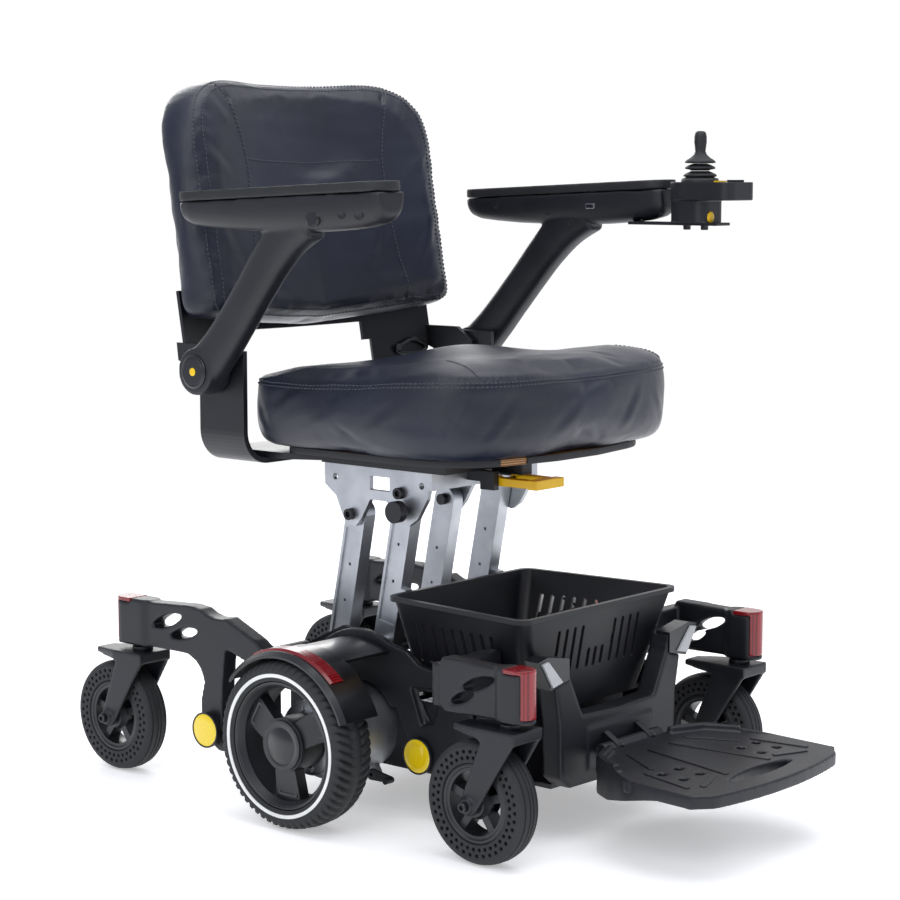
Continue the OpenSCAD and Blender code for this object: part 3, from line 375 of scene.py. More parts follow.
def tidy_mesh(mesh, smooth=60.0):
    """Faces point outwards, shading is smooth up to an angle."""
    work = bmesh.new()
    work.from_mesh(mesh)
    bmesh.ops.remove_doubles(work, verts=work.verts, dist=2e-6)
    bmesh.ops.recalc_face_normals(work, faces=work.faces)
    work.to_mesh(mesh)
    work.free()
    mesh.polygons.foreach_set("use_smooth", [True] * len(mesh.polygons))
    mesh.set_sharp_from_angle(angle=math.radians(smooth))


def fit(piece, body, stands_for=()):
    """Hangs a piece on its body and hides the nodes it stands for."""
    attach(piece, body)
    if stands_for:
        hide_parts(*stands_for)
    return piece


def fitted(name, shape, body, slot, smooth=60.0, stands_for=(), finish=None):
    """A new piece from points and faces, in its slot's finish and hung on its body."""
    return fit(new_piece(name, *shape, finish or FINISH[slot], smooth), body, stands_for)


def apply_modifiers(piece):
    depsgraph = bpy.context.evaluated_depsgraph_get()
    mesh = bpy.data.meshes.new_from_object(piece.evaluated_get(depsgraph))
    piece.modifiers.clear()
    piece.data = mesh


def modify(piece, kind, **settings):
    """Adds a modifier, sets it and applies it."""
    step = piece.modifiers.new(kind.lower(), kind)
    for key, value in settings.items():
        setattr(step, key, value)
    apply_modifiers(piece)
    return piece


def copy_of(node, name):
    """A free copy of a node's mesh."""
    work = bmesh.new()
    work.from_mesh(NODES[node].data)
    bmesh.ops.remove_doubles(work, verts=work.verts, dist=2e-6)
    mesh = bpy.data.meshes.new(name)
    work.to_mesh(mesh)
    work.free()
    mesh.materials.append(NODES[node].data.materials[0])
    piece = bpy.data.objects.new(name, mesh)
    bpy.context.scene.collection.objects.link(piece)
    return piece


def moulding(node, name, body, slot, voxel, rounds, keep):
    """The node's shape with its edges and inner corners run together as a mould leaves them."""
    piece = copy_of(node, name)
    modify(piece, "REMESH", mode="VOXEL", voxel_size=voxel * MM)
    modify(piece, "SMOOTH", factor=0.5, iterations=rounds)
    modify(piece, "DECIMATE", ratio=keep)
    piece.data.materials.clear()
    piece.data.materials.append(FINISH[slot])
    tidy_mesh(piece.data, 70)
    return fit(piece, body, (node,))


def lathe(profile, segments=64):
    """Points and faces of a profile [(radius, along)] turned about the X axis."""
    points = []
    for i in range(segments):
        turn = math.radians(360.0 * i / segments)
        for radius, along in profile:
            points.append((along, radius * math.cos(turn), radius * math.sin(turn)))
    n, faces = len(profile), []
    for i in range(segments):
        a, b = i * n, ((i + 1) % segments) * n
        faces += [(a + j, b + j, b + j + 1, a + j + 1) for j in range(n - 1)]
    return points, faces


def moved(shape, place):
    """A shape with each point taken through place(x, y, z)."""
    points, faces = shape
    return [place(*p) for p in points], faces


def joined(*shapes):
    points, faces = [], []
    for more, loops in shapes:
        faces += [tuple(i + len(points) for i in loop) for loop in loops]
        points += more
    return points, faces


def slab(outline, low, high, chamfer=0.0):
    """A plate on a closed (a, b) outline between two heights, its rims chamfered."""
    n = len(outline)
    middle = (sum(p[0] for p in outline) / n, sum(p[1] for p in outline) / n)

    def ring(inset, height):
        result = []
        for i in range(n):
            before, here, after = outline[i - 1], outline[i], outline[(i + 1) % n]
            along = (after[0] - before[0], after[1] - before[1])
            size = math.hypot(*along) or 1.0
            normal = (-along[1] / size, along[0] / size)
            toward = (middle[0] - here[0], middle[1] - here[1])
            sign = 1 if normal[0] * toward[0] + normal[1] * toward[1] > 0 else -1
            result.append((here[0] + sign * inset * normal[0],
                           here[1] + sign * inset * normal[1], height))
        return result

    c = chamfer
    rings = ([ring(c, low), ring(0, low + c), ring(0, high - c), ring(c, high)] if c
             else [ring(0, low), ring(0, high)])
    points = [p for r in rings for p in r]
    faces = [(k * n + i, k * n + (i + 1) % n, (k + 1) * n + (i + 1) % n, (k + 1) * n + i)
             for k in range(len(rings) - 1) for i in range(n)]
    return points, faces + [tuple(range(n)), tuple(range(len(points) - n, len(points)))]


def lofted(rings, caps=True):
    """Faces over closed rings of equal length."""
    n = len(rings[0])
    points = [p for ring in rings for p in ring]
    faces = [(k * n + i, k * n + (i + 1) % n, (k + 1) * n + (i + 1) % n, (k + 1) * n + i)
             for k in range(len(rings) - 1) for i in range(n)]
    if caps:
        faces += [tuple(range(n)), tuple(range(len(points) - n, len(points)))]
    return points, faces


def rounded_path(corners, radius, steps=6):
    """A closed outline through corners, each one rounded by a quadratic curve."""
    result, n = [], len(corners)
    for i, here in enumerate(corners):
        r = radius[i] if isinstance(radius, (list, tuple)) else radius
        here = Vector(here)
        ends = []
        for other in (Vector(corners[i - 1]), Vector(corners[(i + 1) % n])):
            arm = other - here
            ends.append(here + arm.normalized() * min(r, arm.length * 0.49))
        for k in range(steps + 1):
            t = k / steps
            p = ends[0] * (1 - t) ** 2 + here * 2 * t * (1 - t) + ends[1] * t ** 2
            result.append(tuple(p))
    return result


def tube(path, radius, sides=8):
    """A round bar along a list of points, its ends closed."""
    rings = []
    side = None
    for i, here in enumerate(path):
        ahead = Vector(path[min(i + 1, len(path) - 1)]) - Vector(path[max(i - 1, 0)])
        ahead.normalize()
        if side is None:
            side = ahead.orthogonal().normalized()
        side = (side - ahead * side.dot(ahead)).normalized()
        up = ahead.cross(side)
        rings.append([tuple(Vector(here) + radius * (math.cos(a) * side + math.sin(a) * up))
                      for a in [2 * math.pi * k / sides for k in range(sides)]])
    return lofted(rings)


def ease(x, low, high):
    """0 below low, 1 above high, smooth between."""
    t = min(1.0, max(0.0, (x - low) / (high - low)))
    return t * t * (3 - 2 * t)


def socket_screw(radius, height):
    """Cap screw along X with a chamfered head and a socket, standing on a plane at 0."""
    return lathe([(0.0, height * 0.45), (radius * 0.5, height * 0.45),
                  (radius * 0.5, height * 0.98), (radius * 0.85, height),
                  (radius, height * 0.82), (radius, 0.0)], 18)


# ---------------------------------------------------------------- upholstery
def inflate(piece, pressure, most, frames=16):
    """Blows the cover up like a filled one, and limits how far any point may move (mm)."""
    before = [v.co.copy() for v in piece.data.vertices]
    cloth = piece.modifiers.new("cloth", "CLOTH")
    cloth.settings.use_pressure = True
    cloth.settings.uniform_pressure_force = pressure
    cloth.settings.effector_weights.gravity = 0.0
    cloth.settings.quality = 4
    cloth.settings.tension_stiffness = cloth.settings.compression_stiffness = 40
    cloth.settings.bending_stiffness = 2.0
    cloth.collision_settings.use_collision = False
    scene = bpy.context.scene
    cloth.point_cache.frame_start, cloth.point_cache.frame_end = 1, frames
    for frame_number in range(1, frames + 1):
        scene.frame_set(frame_number)
    apply_modifiers(piece)
    scene.frame_set(1)
    for vertex, start in zip(piece.data.vertices, before):
        step = vertex.co - start
        if step.length > most * MM:
            vertex.co = start + step * (most * MM / step.length)


def surface_of(piece):
    mesh = piece.data
    return BVHTree.FromPolygons([v.co for v in mesh.vertices],
                                [tuple(p.vertices) for p in mesh.polygons])


def press_seams(piece, seams, width, depth):
    """Sinks a rounded furrow along each seam, where the thread pulls the padding in."""
    marks = [at_axle(*p) for seam in seams for p in seam]
    tree = KDTree(len(marks))
    for i, mark in enumerate(marks):
        tree.insert(mark, i)
    tree.balance()
    facing = [vertex.normal.copy() for vertex in piece.data.vertices]
    for vertex, normal in zip(piece.data.vertices, facing):
        gap = tree.find(vertex.co)[2] / MM
        if gap < width * 3:
            vertex.co -= normal * (depth * MM * math.exp(-(gap / width) ** 2))


def even_steps(path, pitch):
    """Points and directions at an even pitch (mm) along a polyline."""
    points = [Vector(p) for p in path]
    result, carry = [], 0.0
    for a, b in zip(points, points[1:]):
        length = (b - a).length
        if length < 1e-6:
            continue
        direction = (b - a) / length
        at = carry
        while at < length:
            result.append((a + direction * at, direction))
            at += pitch
        carry = at - length
    return result


def stitch_rows(name, cover, rows, body, pitch=6.0, length=4.4, radius=0.95, sink=0.1):
    """Short lock stitches laid on the cover along each row."""
    skin = surface_of(cover)
    shapes = []
    for row in rows:
        for point, direction in even_steps(row, pitch):
            spot, normal, _, _ = skin.find_nearest(at_axle(*point))
            if spot is None:
                continue
            middle = Vector((spot.x / MM, spot.y / MM - AXLE_Y, spot.z / MM)) - normal * sink
            along = (direction - normal * direction.dot(normal)).normalized()
            bow = [middle + along * (length * (t - 0.5)) + normal * (0.55 * math.sin(math.pi * t))
                   for t in (0.0, 0.25, 0.5, 0.75, 1.0)]
            rings = []
            for t, centre in zip((0.35, 0.9, 1.0, 0.9, 0.35), bow):
                side = along.cross(normal)
                rings.append([tuple(centre + radius * t * (math.cos(a) * side +
                                                           math.sin(a) * normal))
                              for a in [math.pi * k / 3 for k in range(6)]])
            shapes.append(lofted(rings))
    return fitted(name, joined(*shapes), body, "navy_leatherette", finish=THREAD)


def plan_of_seat(turn):
    """The seat cover's widest outline: direction turn (radians) to a point (x, y)."""
    x, y = math.cos(turn), math.sin(turn)
    front = y < 0
    power = 4.2 if front else 8.0
    half_d = 173.0 if front else 215.0
    size = (abs(x) ** power + abs(y) ** power) ** (-1 / power)
    px, py = x * size, y * size
    bulge = 9.0 * (1 - px * px) if front else 0.0
    return px * SEAT_HALF_W, SEAT_MIDDLE_Y + py * half_d - bulge


def seat_rim(_, y):
    """Height of the seat's top seam: lowest at the rear sides, full at the front."""
    return 555.0 + 13.0 * ease(-y, -60, 210)


def seat_top(x, y):
    """Height of the seat's top: a front roll, a shallow hollow and low side bolsters."""
    roll = 9.0 * math.exp(-((y + 178) / 80) ** 2)
    rear = 13.0 * math.exp(-((y - 62) / 62) ** 2) * math.exp(-((x - 118) / 88) ** 2)
    bolster = 5.0 * ease(abs(x), 60, 165) * ease(-y, -120, -40)
    return seat_rim(x, y) + 2.0 + roll + rear + bolster


def seat_folds():
    """Drag lines where the seat cover is pulled round its corners and under the board."""
    folds = [((-236, 96, 500), (-236, 12, 548), 7, 1.8),
             ((-236, 40, 478), (-236, -60, 530), 8, 1.5),
             ((-236, -70, 484), (-232, -150, 536), 7, 1.7),
             ((-232, 122, 520), (-236, 84, 474), 6, 1.6),
             ((-226, -196, 486), (-206, -232, 540), 6, 1.6),
             ((-190, -246, 480), (-140, -262, 536), 7, 1.5),
             ((-80, -266, 484), (-20, -268, 530), 8, 1.3),
             ((60, -266, 486), (110, -262, 540), 7, 1.4),
             ((-200, 60, 566), (-120, -20, 566), 9, 1.3),
             ((-60, -150, 574), (40, -190, 576), 10, 1.2)]
    return folds + [((-a[0], a[1] - 12, a[2]), (-b[0], b[1] + 9, b[2]), w, h)
                    for a, b, w, h in folds[:6]]


def seat_cushion():
    turns = [2 * math.pi * i / 132 for i in range(132)]
    rings = []

    def ring(inset, height, lift=0.0):
        points = []
        for turn in turns:
            x, y = plan_of_seat(turn)
            depth = y - SEAT_MIDDLE_Y
            reach = math.hypot(x, depth)
            share = (reach - inset) / reach
            px, py = x * share, SEAT_MIDDLE_Y + depth * share
            z = height(px, py) if callable(height) else height
            points.append((px, py, z + lift))
        return points

    # Skirt: tucked under the board, full in its middle, pulled in at the seam
    for inset, height in ((40, 466.2), (26, 466.8), (13, 470.5), (5.5, 480), (1.5, 497),
                          (1.0, 522)):
        rings.append(ring(inset, height))
    rings.append(ring(2.5, lambda x, y: seat_rim(x, y) - 12))
    rings.append(ring(5.0, seat_rim))
    for inset, part in ((9, 0.34), (16, 0.60), (27, 0.82), (42, 0.94), (62, 1.0), (86, 1.0),
                        (112, 1.0), (138, 1.0), (162, 1.0)):
        rings.append(ring(inset, lambda x, y, part=part: seat_rim(x, y) +
                          (seat_top(x, y) - seat_rim(x, y)) * part))
    points, faces = lofted(rings)
    cover = new_piece("seat_cover", points, faces, FINISH["navy_leatherette"], 80)
    modify(cover, "REMESH", mode="VOXEL", voxel_size=6 * MM)
    modify(cover, "SMOOTH", factor=0.5, iterations=4)
    inflate(cover, 1.6, 5.0)
    for vertex in cover.data.vertices:
        vertex.co.z = max(vertex.co.z, BOARD_TOP * MM)
    pucker(cover, 1.0, seat_folds())
    modify(cover, "SUBSURF", levels=1, render_levels=1)
    seam = [tuple((x, y, seat_rim(x, y))) for x, y in
            [(p[0] * 0.985, SEAT_MIDDLE_Y + (p[1] - SEAT_MIDDLE_Y) * 0.985) for p in
             [plan_of_seat(math.radians(a)) for a in range(0, 361, 2)]]]
    corners = []
    for side in (LEFT, RIGHT):
        corners.append([(side * (190 - 22 * t), -232 + 64 * t + 10 * t * t,
                         seat_top(side * (190 - 22 * t), -232 + 64 * t)) for t in
                        [k / 12 for k in range(13)]])
        corners.append([(side * (233 - 4 * t), 112 - 40 * t * t, 556 - 86 * t)
                        for t in [k / 14 for k in range(15)]])
    press_seams(cover, [seam], 3.0, 3.6)
    press_seams(cover, corners, 2.2, 1.8)
    tidy_mesh(cover.data, 80)
    fit(cover, "seat", ("seat_cushion",))
    rows = []
    for drop in (-5.5, -10.5):
        rows.append([(x, y, z + drop) for x, y, z in seam])
    rows += corners[:1] + corners[2:3]
    stitch_rows("seat_stitching", cover, rows, "seat")


def pucker(piece, size, folds=()):
    """Slow unevenness and drag lines of a hand-pulled cover. Each fold is (from, to, width,
    height) in drawing millimetres: a soft ridge with a crease beside it."""
    facing = [vertex.normal.copy() for vertex in piece.data.vertices]
    for vertex, normal in zip(piece.data.vertices, facing):
        p = Vector((vertex.co.x / MM, vertex.co.y / MM - AXLE_Y, vertex.co.z / MM))
        slow = noise.noise(Vector((p.x, p.y, p.z * 1.8)) * 0.012)
        drag = noise.noise(Vector((p.x * 0.6, p.y * 0.9, p.z * 3.2)) * 0.02 + Vector((7, 3, 1)))
        rise = (1.5 * slow + 0.9 * drag) * size
        for start, stop, width, height in folds:
            start, along = Vector(start), Vector(stop) - Vector(start)
            share = (p - start).dot(along) / along.length_squared
            if not -0.3 < share < 1.3:
                continue
            off = p - start - along * share
            across = normal.cross(along).normalized()
            gap = off.dot(across) / width
            if abs(gap) > 3 or off.length > 3.2 * width:
                continue
            fade = math.exp(-((share - 0.5) / 0.42) ** 4)
            rise += height * fade * (math.exp(-gap * gap) - 0.8 * math.exp(-(gap - 1.3) ** 2))
        vertex.co += normal * (rise * MM)


RECLINE = math.radians(10)
BACK_R, BACK_T, BACK_H = 650.0, 70.0, 330.0


def on_back(across, up, out):
    """Backrest point: across the user, up from its foot, out from its rear face."""
    radius = BACK_R + BACK_T - out
    bend = across / BACK_R
    x, y = radius * math.sin(bend), radius * math.cos(bend) - BACK_R
    return (x, 198.0 + y * math.cos(RECLINE) + up * math.sin(RECLINE),
            611.0 - y * math.sin(RECLINE) + up * math.cos(RECLINE))


def back_plan():
    """The backrest's outline, from the middle of its foot; the foot bows down there."""
    half, top, corner, foot = 232.0, BACK_H, 100.0, 16.0
    path = rounded_path([(0, 0), (half - 2, 0), (half, top * 0.45), (half - 4, top), (0, top + 2),
                         (4 - half, top), (-half, top * 0.45), (2 - half, 0)],
                        [5, foot, 70, corner * 1.4, 60, corner * 1.4, 70, foot], 8)
    return [(x, up + (17.0 * (x / half) ** 2 if up < 60 else 0.0) *
             (1 - ease(up, 0, 60))) for x, up in path]


def back_folds():
    """Drag lines of the backrest cover: off the corners, and sagging between the panels."""
    def fold(a, b, width, height):
        return on_back(*a, 68), on_back(*b, 68), width, height
    folds = []
    for side in (LEFT, RIGHT):
        folds += [fold((side * 216, 60), (side * 168, 18), 7, 1.6),
                  fold((side * 222, 150), (side * 170, 60), 9, 1.4),
                  fold((side * 224, 236), (side * 172, 190), 8, 1.3),
                  fold((side * 200, 308), (side * 160, 262), 8, 1.2),
                  fold((side * 128, 40), (side * 60, 14), 8, 1.4),
                  fold((side * 122, 150), (side * 84, 60), 9, 1.2)]
    return folds + [fold((-60, 196), (70, 186), 9, 1.0), fold((-90, 262), (-20, 300), 10, 1.0)]


def backrest_cushion():
    outline = back_plan()
    middle = Vector((0.0, BACK_H * 0.5))

    def ring(inset, out, crown=0.0):
        result = []
        for p in outline:
            away = Vector(p) - middle
            share = max(0.0, 1 - inset / away.length)
            q = middle + away * share
            result.append(on_back(q.x, q.y, out + crown))
        return result

    rings = [ring(60, 0.5), ring(22, 1.0), ring(9, 4), ring(3, 12), ring(0.5, 24), ring(0, 38),
             ring(1.5, 50), ring(4, 58), ring(9, 63.5), ring(18, 66), ring(34, 67),
             ring(60, 68), ring(92, 68.5), ring(124, 69)]
    cover = new_piece("backrest_cover", *lofted(rings), FINISH["navy_leatherette"], 80)
    modify(cover, "REMESH", mode="VOXEL", voxel_size=6 * MM)
    modify(cover, "SMOOTH", factor=0.5, iterations=4)
    inflate(cover, 1.8, 5.0)
    pucker(cover, 0.8, back_folds())
    modify(cover, "SUBSURF", levels=1, render_levels=1)
    edge = []
    for p in outline:
        away = Vector(p) - middle
        q = middle + away * (1 - 7 / away.length)
        edge.append(on_back(q.x, q.y, 62))
    edge.append(edge[0])
    hem = [on_back(x, 10.0 + 16.0 * (x / 232) ** 2, 67) for x in range(-222, 223, 6)]
    panels = []
    for side in (LEFT, RIGHT):
        panels.append([on_back(side * x, up, 68) for x, up in smooth_line(
            [(158, 322), (146, 288), (131, 232), (129, 180), (133, 110), (148, 22)])])
    cross = [on_back(x, 222 - 3 * (1 - (x / 131) ** 2), 69) for x in range(-131, 132, 5)]
    press_seams(cover, [edge], 3.0, 3.4)
    press_seams(cover, [hem], 2.0, 1.4)
    press_seams(cover, panels + [cross], 2.8, 3.6)
    tidy_mesh(cover.data, 80)
    fit(cover, "backrest", ("backrest_cushion",))
    rows = []
    for inset, out in ((2.0, 55), (12.5, 66)):
        row = []
        for p in outline:
            away = Vector(p) - middle
            q = middle + away * (1 - inset / away.length)
            row.append(on_back(q.x, q.y, out))
        rows.append(row + row[:1])
    rows.append([on_back(x, 222 - 3 * (1 - (x / 131) ** 2) - 4.5, 69)
                 for x in range(-128, 129, 5)])
    for side, panel in zip((LEFT, RIGHT), panels):
        rows.append([(p[0] + side * 4.5, p[1], p[2]) for p in panel])
    stitch_rows("backrest_stitching", cover, rows, "backrest")


def smooth_line(corners, steps=10):
    """Catmull-Rom points through the corners."""
    result, n = [], len(corners)
    for i in range(n - 1):
        p = [Vector(corners[max(0, min(n - 1, k))]) for k in (i - 1, i, i + 1, i + 2)]
        for k in range(steps):
            t = k / steps
            q = 0.5 * ((2 * p[1]) + (p[2] - p[0]) * t +
                       (2 * p[0] - 5 * p[1] + 4 * p[2] - p[3]) * t * t +
                       (3 * p[1] - p[0] - 3 * p[2] + p[3]) * t ** 3)
            result.append(tuple(q))
    return result + [tuple(corners[-1])]


# ---------------------------------------------------------------- wheels
def about_axle(x0, y0, z0, side=1):
    """Takes a lathe's (x, a, b) to an axle along X at (x0, y0, z0), mirrored on the right."""
    return lambda x, a, b: (side * (x0 + x), y0 + a, z0 + b)


def drive_tyre(side, hand):
    """Block tread: curved shoulder lugs and two zigzag grooves round a centre band."""
    profile = []
    for radius, along in ((80.5, 24), (81, 28.5), (84, 30.2), (90, 30.8)):
        profile.append((radius, along))
    for k in range(25):
        turn = math.pi * k / 24
        profile.append((94.5 + 13 * math.sin(turn) ** 0.62, 31.0 * math.cos(turn)))
    for radius, along in ((90, -30.8), (84, -30.2), (81, -28.5), (80.5, -24)):
        profile.append((radius, along))
    segments, lugs = 464, 58
    points, faces = lathe(profile, segments)
    n = len(profile)
    for i in range(segments):
        for j, (radius, along) in enumerate(profile):
            if radius < 95.5:
                continue
            share = abs(along) / 31.0
            turn = i / segments * lugs
            swept = turn + 1.1 * share ** 1.6 + (0.5 if along < 0 else 0.0)
            phase = swept % 1.0
            block = ease(phase, 0.02, 0.16) * (1 - ease(phase, 0.66, 0.80))
            if share < 0.16:
                block = 1.0
            zigzag = 0.27 + 0.05 * math.sin(2 * math.pi * turn)
            block *= 1 - math.exp(-((share - zigzag) / 0.055) ** 2)
            if share > 0.90:
                block = block * 0.6
            drop = 3.4 * (1 - block)
            x, a, b = points[i * n + j]
            scale = (radius - drop) / radius
            points[i * n + j] = (x, a * scale, b * scale)
    fitted(f"drive_tread_{hand}", moved((points, faces), about_axle(DRIVE_X, 0, DRIVE_R, side)),
           f"drive_wheel_{hand}", "tyre_rubber", 50, (f"drive_tyre_{hand}",))
    band = lathe([(85.6, 29.4), (86.2, 31.3), (88.3, 31.7), (90.4, 31.4), (91.0, 29.4)], 96)
    fitted(f"drive_white_band_{hand}", moved(band, about_axle(DRIVE_X, 0, DRIVE_R, side)),
           f"drive_wheel_{hand}", "tyre_rubber", 50, finish=WHITE_BAND)


def drive_rim_trim(side, hand):
    """Raised frames on the three spokes, a stepped hub cap and a bright lip at the rim."""
    place = about_axle(0, 0, DRIVE_R, side)
    cap = lathe([(0, 296.4), (22, 296.4), (23, 295.6), (24, 296.2), (29.5, 296.2), (31, 294.8),
                 (31.4, 292), (33.6, 291.6), (34.2, 289)], 64)
    lip = lathe([(80.2, 296.6), (79.6, 297.6), (77.6, 297.2), (75.5, 293.5), (71.5, 288.5),
                 (70.8, 286)], 96)
    frames = []
    inner, half_in, outer, half_out = 38, 13.0, 66, 17.5
    for turn in (-90, 30, 150):
        angle = math.radians(turn)
        corners = [(inner, -half_in), (outer, -half_out), (outer, half_out), (inner, half_in)]
        shrunk = [(inner + 3.4, -half_in + 3), (outer - 3.4, -half_out + 3.4),
                  (outer - 3.4, half_out - 3.4), (inner + 3.4, half_in - 3)]
        big, small = rounded_path(corners, 4, 4), rounded_path(shrunk, 3, 4)
        rings = [[(r, s, 283.2) for r, s in big], [(r, s, 284.4) for r, s in big],
                 [(r * 0.998 + 0.1, s * 0.97, 285.2) for r, s in big],
                 [(r, s, 285.2) for r, s in small], [(r, s, 282.4) for r, s in small]]
        shape, faces = lofted(rings, False)
        frames.append(([(x, r * math.cos(angle) - s * math.sin(angle),
                         r * math.sin(angle) + s * math.cos(angle)) for r, s, x in shape],
                       faces))
    fitted(f"drive_rim_trim_{hand}", moved(joined(cap, lip, *frames), place),
           f"drive_wheel_{hand}", "gloss_plastic", 40)


def motor_screws(side, hand):
    """Gearbox lid: flange, ribs and cap screws seen between the spokes."""
    lid = lathe([(20, 250), (28, 250.5), (40, 249.5), (46, 247), (46.5, 236)], 48)
    shapes = [lid]
    for k in range(6):
        angle = math.radians(20 + 60 * k)
        screw, faces = socket_screw(3.6, 4.2)
        shapes.append(([(248.6 + x, 38 * math.cos(angle) + a, 38 * math.sin(angle) + b)
                        for x, a, b in screw], faces))
    fitted(f"gearbox_lid_{hand}", moved(joined(*shapes), about_axle(0, 0, DRIVE_R, side)), "base",
           "cast_aluminium", 40)


def caster_tyre(end, hand, x0, y0):
    """Honeycomb tyre: two staggered rows of round holes in each wall, three tread grooves."""
    holes, wall = 38, CASTER_HALF_W
    count = 2 * holes
    points, faces = [], []

    def at(radius, index, along):
        turn = 2 * math.pi * index / count
        points.append((along, radius * math.cos(turn), radius * math.sin(turn)))
        return len(points) - 1

    def ring(radius, along):
        return [at(radius, i, along) for i in range(count)]

    def bridge(a, b):
        for i in range(count):
            j = (i + 1) % count
            faces.append((a[i], a[j], b[j], b[i]))

    def hole_row(low, high, first, sign):
        """A band of cells between two rings; each cell is two steps wide with a round hole."""
        middle_radius = (low[1] + high[1]) / 2
        mid = {}
        for k in range(holes):
            start = (first + 2 * k) % count
            mid[start] = at(middle_radius, start, sign * wall)
        for k in range(holes):
            i0 = (first + 2 * k) % count
            i1, i2 = (i0 + 1) % count, (i0 + 2) % count
            cell = [low[0][i0], low[0][i1], low[0][i2], mid[i2], high[0][i2], high[0][i1],
                    high[0][i0], mid[i0]]
            turn = 2 * math.pi * (i0 + 1) / count
            centre = (middle_radius * math.cos(turn), middle_radius * math.sin(turn))
            out, round_ = (math.cos(turn), math.sin(turn)), (-math.sin(turn), math.cos(turn))
            rims = []
            for radius, along in ((2.75, wall), (2.45, wall - 0.5), (2.3, wall - 6)):
                loop = []
                for m in range(8):
                    angle = math.radians(225 + 45 * m)
                    u, v = radius * math.cos(angle), radius * math.sin(angle)
                    points.append((sign * along, centre[0] + round_[0] * u + out[0] * v,
                                   centre[1] + round_[1] * u + out[1] * v))
                    loop.append(len(points) - 1)
                rims.append(loop)
            for a, b in ((cell, rims[0]), (rims[0], rims[1]), (rims[1], rims[2])):
                for m in range(8):
                    n = (m + 1) % 8
                    faces.append((a[m], a[n], b[n], b[m]))
            faces.append(tuple(rims[2]))

    outer = []
    for sign in (1, -1):
        bead = ring(48.3, sign * 15.5)
        step = ring(49.2, sign * wall)
        low = ring(51.2, sign * wall)
        between = ring(58.6, sign * wall)
        high = ring(66.0, sign * wall)
        shoulder = ring(68.4, sign * 17.2)
        bridge(bead, step)
        bridge(step, low)
        hole_row((low, 51.2), (between, 58.6), 0, sign)
        hole_row((between, 58.6), (high, 66.0), 1, sign)
        bridge(high, shoulder)
        last = shoulder
        for radius, along in ((71.6, 15.2), (73.3, 12.6), (73.6, 11.9), (72.2, 11.2),
                              (72.2, 10.2), (74.2, 9.4), (74.9, 5.4), (75, 4.2), (73.4, 3.4),
                              (73.4, 2.4), (75, 1.6)):
            here = ring(radius, sign * along)
            bridge(last, here)
            last = here
        outer.append(last)
    bridge(outer[0], outer[1])
    fitted(f"caster_tread_{end}_{hand}",
           moved((points, faces), about_axle(x0, y0 + CASTER_TRAIL, CASTER_R)),
           f"caster_wheel_{end}_{hand}", "tyre_rubber", 45, (f"caster_tyre_{end}_{hand}",))


def caster_details(end, hand, x0, y0):
    """Fork with run-together corners, axle screws, rim step rings and the stem's washer."""
    moulding(f"caster_fork_{end}_{hand}", f"fork_{end}_{hand}", f"caster_{end}_{hand}",
             "moulded_nylon", 2.0, 5, 0.5)
    shapes = []
    for sign in (1, -1):
        screw, faces = socket_screw(6.2, 6.0)
        shapes.append(([(x0 + sign * (33.5 + x), y0 + CASTER_TRAIL + a, CASTER_R + b)
                        for x, a, b in screw], faces))
    collar = lathe([(9.2, 0), (13.5, 0), (14, 1.2), (14, 6), (12, 7.4), (9.2, 7.4)], 28)
    shapes.append(([(x0 + a, y0 + b, 169.6 + x) for x, a, b in collar[0]], collar[1]))
    fitted(f"caster_screws_{end}_{hand}", joined(*shapes), f"caster_{end}_{hand}",
           "powder_coated_steel", 40)
    rings = []
    for sign in (1, -1):
        ring = lathe([(48.2, 15.4), (46.5, 16.6), (44.0, 16.6), (42.6, 14.8), (40.4, 14.4),
                      (39.4, 12.6)], 64)
        rings.append(([(sign * x, a, b) for x, a, b in ring[0]], ring[1]))
        boss = lathe([(13.9, 18.0), (15.8, 17.4), (17.6, 12.0), (20, 8.5)], 32)
        rings.append(([(sign * x, a, b) for x, a, b in boss[0]], boss[1]))
    fitted(f"caster_rim_trim_{end}_{hand}",
           moved(joined(*rings), about_axle(x0, y0 + CASTER_TRAIL, CASTER_R)),
           f"caster_wheel_{end}_{hand}", "rim_plastic", 40)


def wheels():
    for side, hand in SIDES:
        drive_tyre(side, hand)
        drive_rim_trim(side, hand)
        motor_screws(side, hand)
        for end, x, y in STEMS:
            caster_tyre(end, hand, side * x, y)
            caster_details(end, hand, side * x, y)


# ---------------------------------------------------------------- chassis mouldings and lamps
def lamps():
    """Corner lamp covers with softened rims; round reflectors in their black cups."""
    moulding("corner_lenses", "corner_lamp_covers", "base", "red_lens", 1.0, 4, 0.6)
    shapes, discs = [], []
    for side in (LEFT, RIGHT):
        for y, z, x in ((194, 86, 237.5), (-101, 84, 152.2)):
            cup = lathe([(21.5, 0), (23.2, 0.6), (23.6, 3.4), (23.6, 7.2), (22.8, 7.9),
                         (21.4, 7.2)], 40)
            shapes.append(moved(cup, about_axle(x - 2, y, z, side)))
            disc = lathe([(0, 6.6), (10, 6.5), (18, 5.9), (21.3, 4.9), (21.6, 3.0)], 40)
            discs.append(moved(disc, about_axle(x, y, z, side)))
    fitted("reflector_cups", joined(*shapes), "base", "moulded_nylon", 40)
    fitted("reflector_discs", joined(*discs), "base", "reflector", 40, ("side_reflectors",))


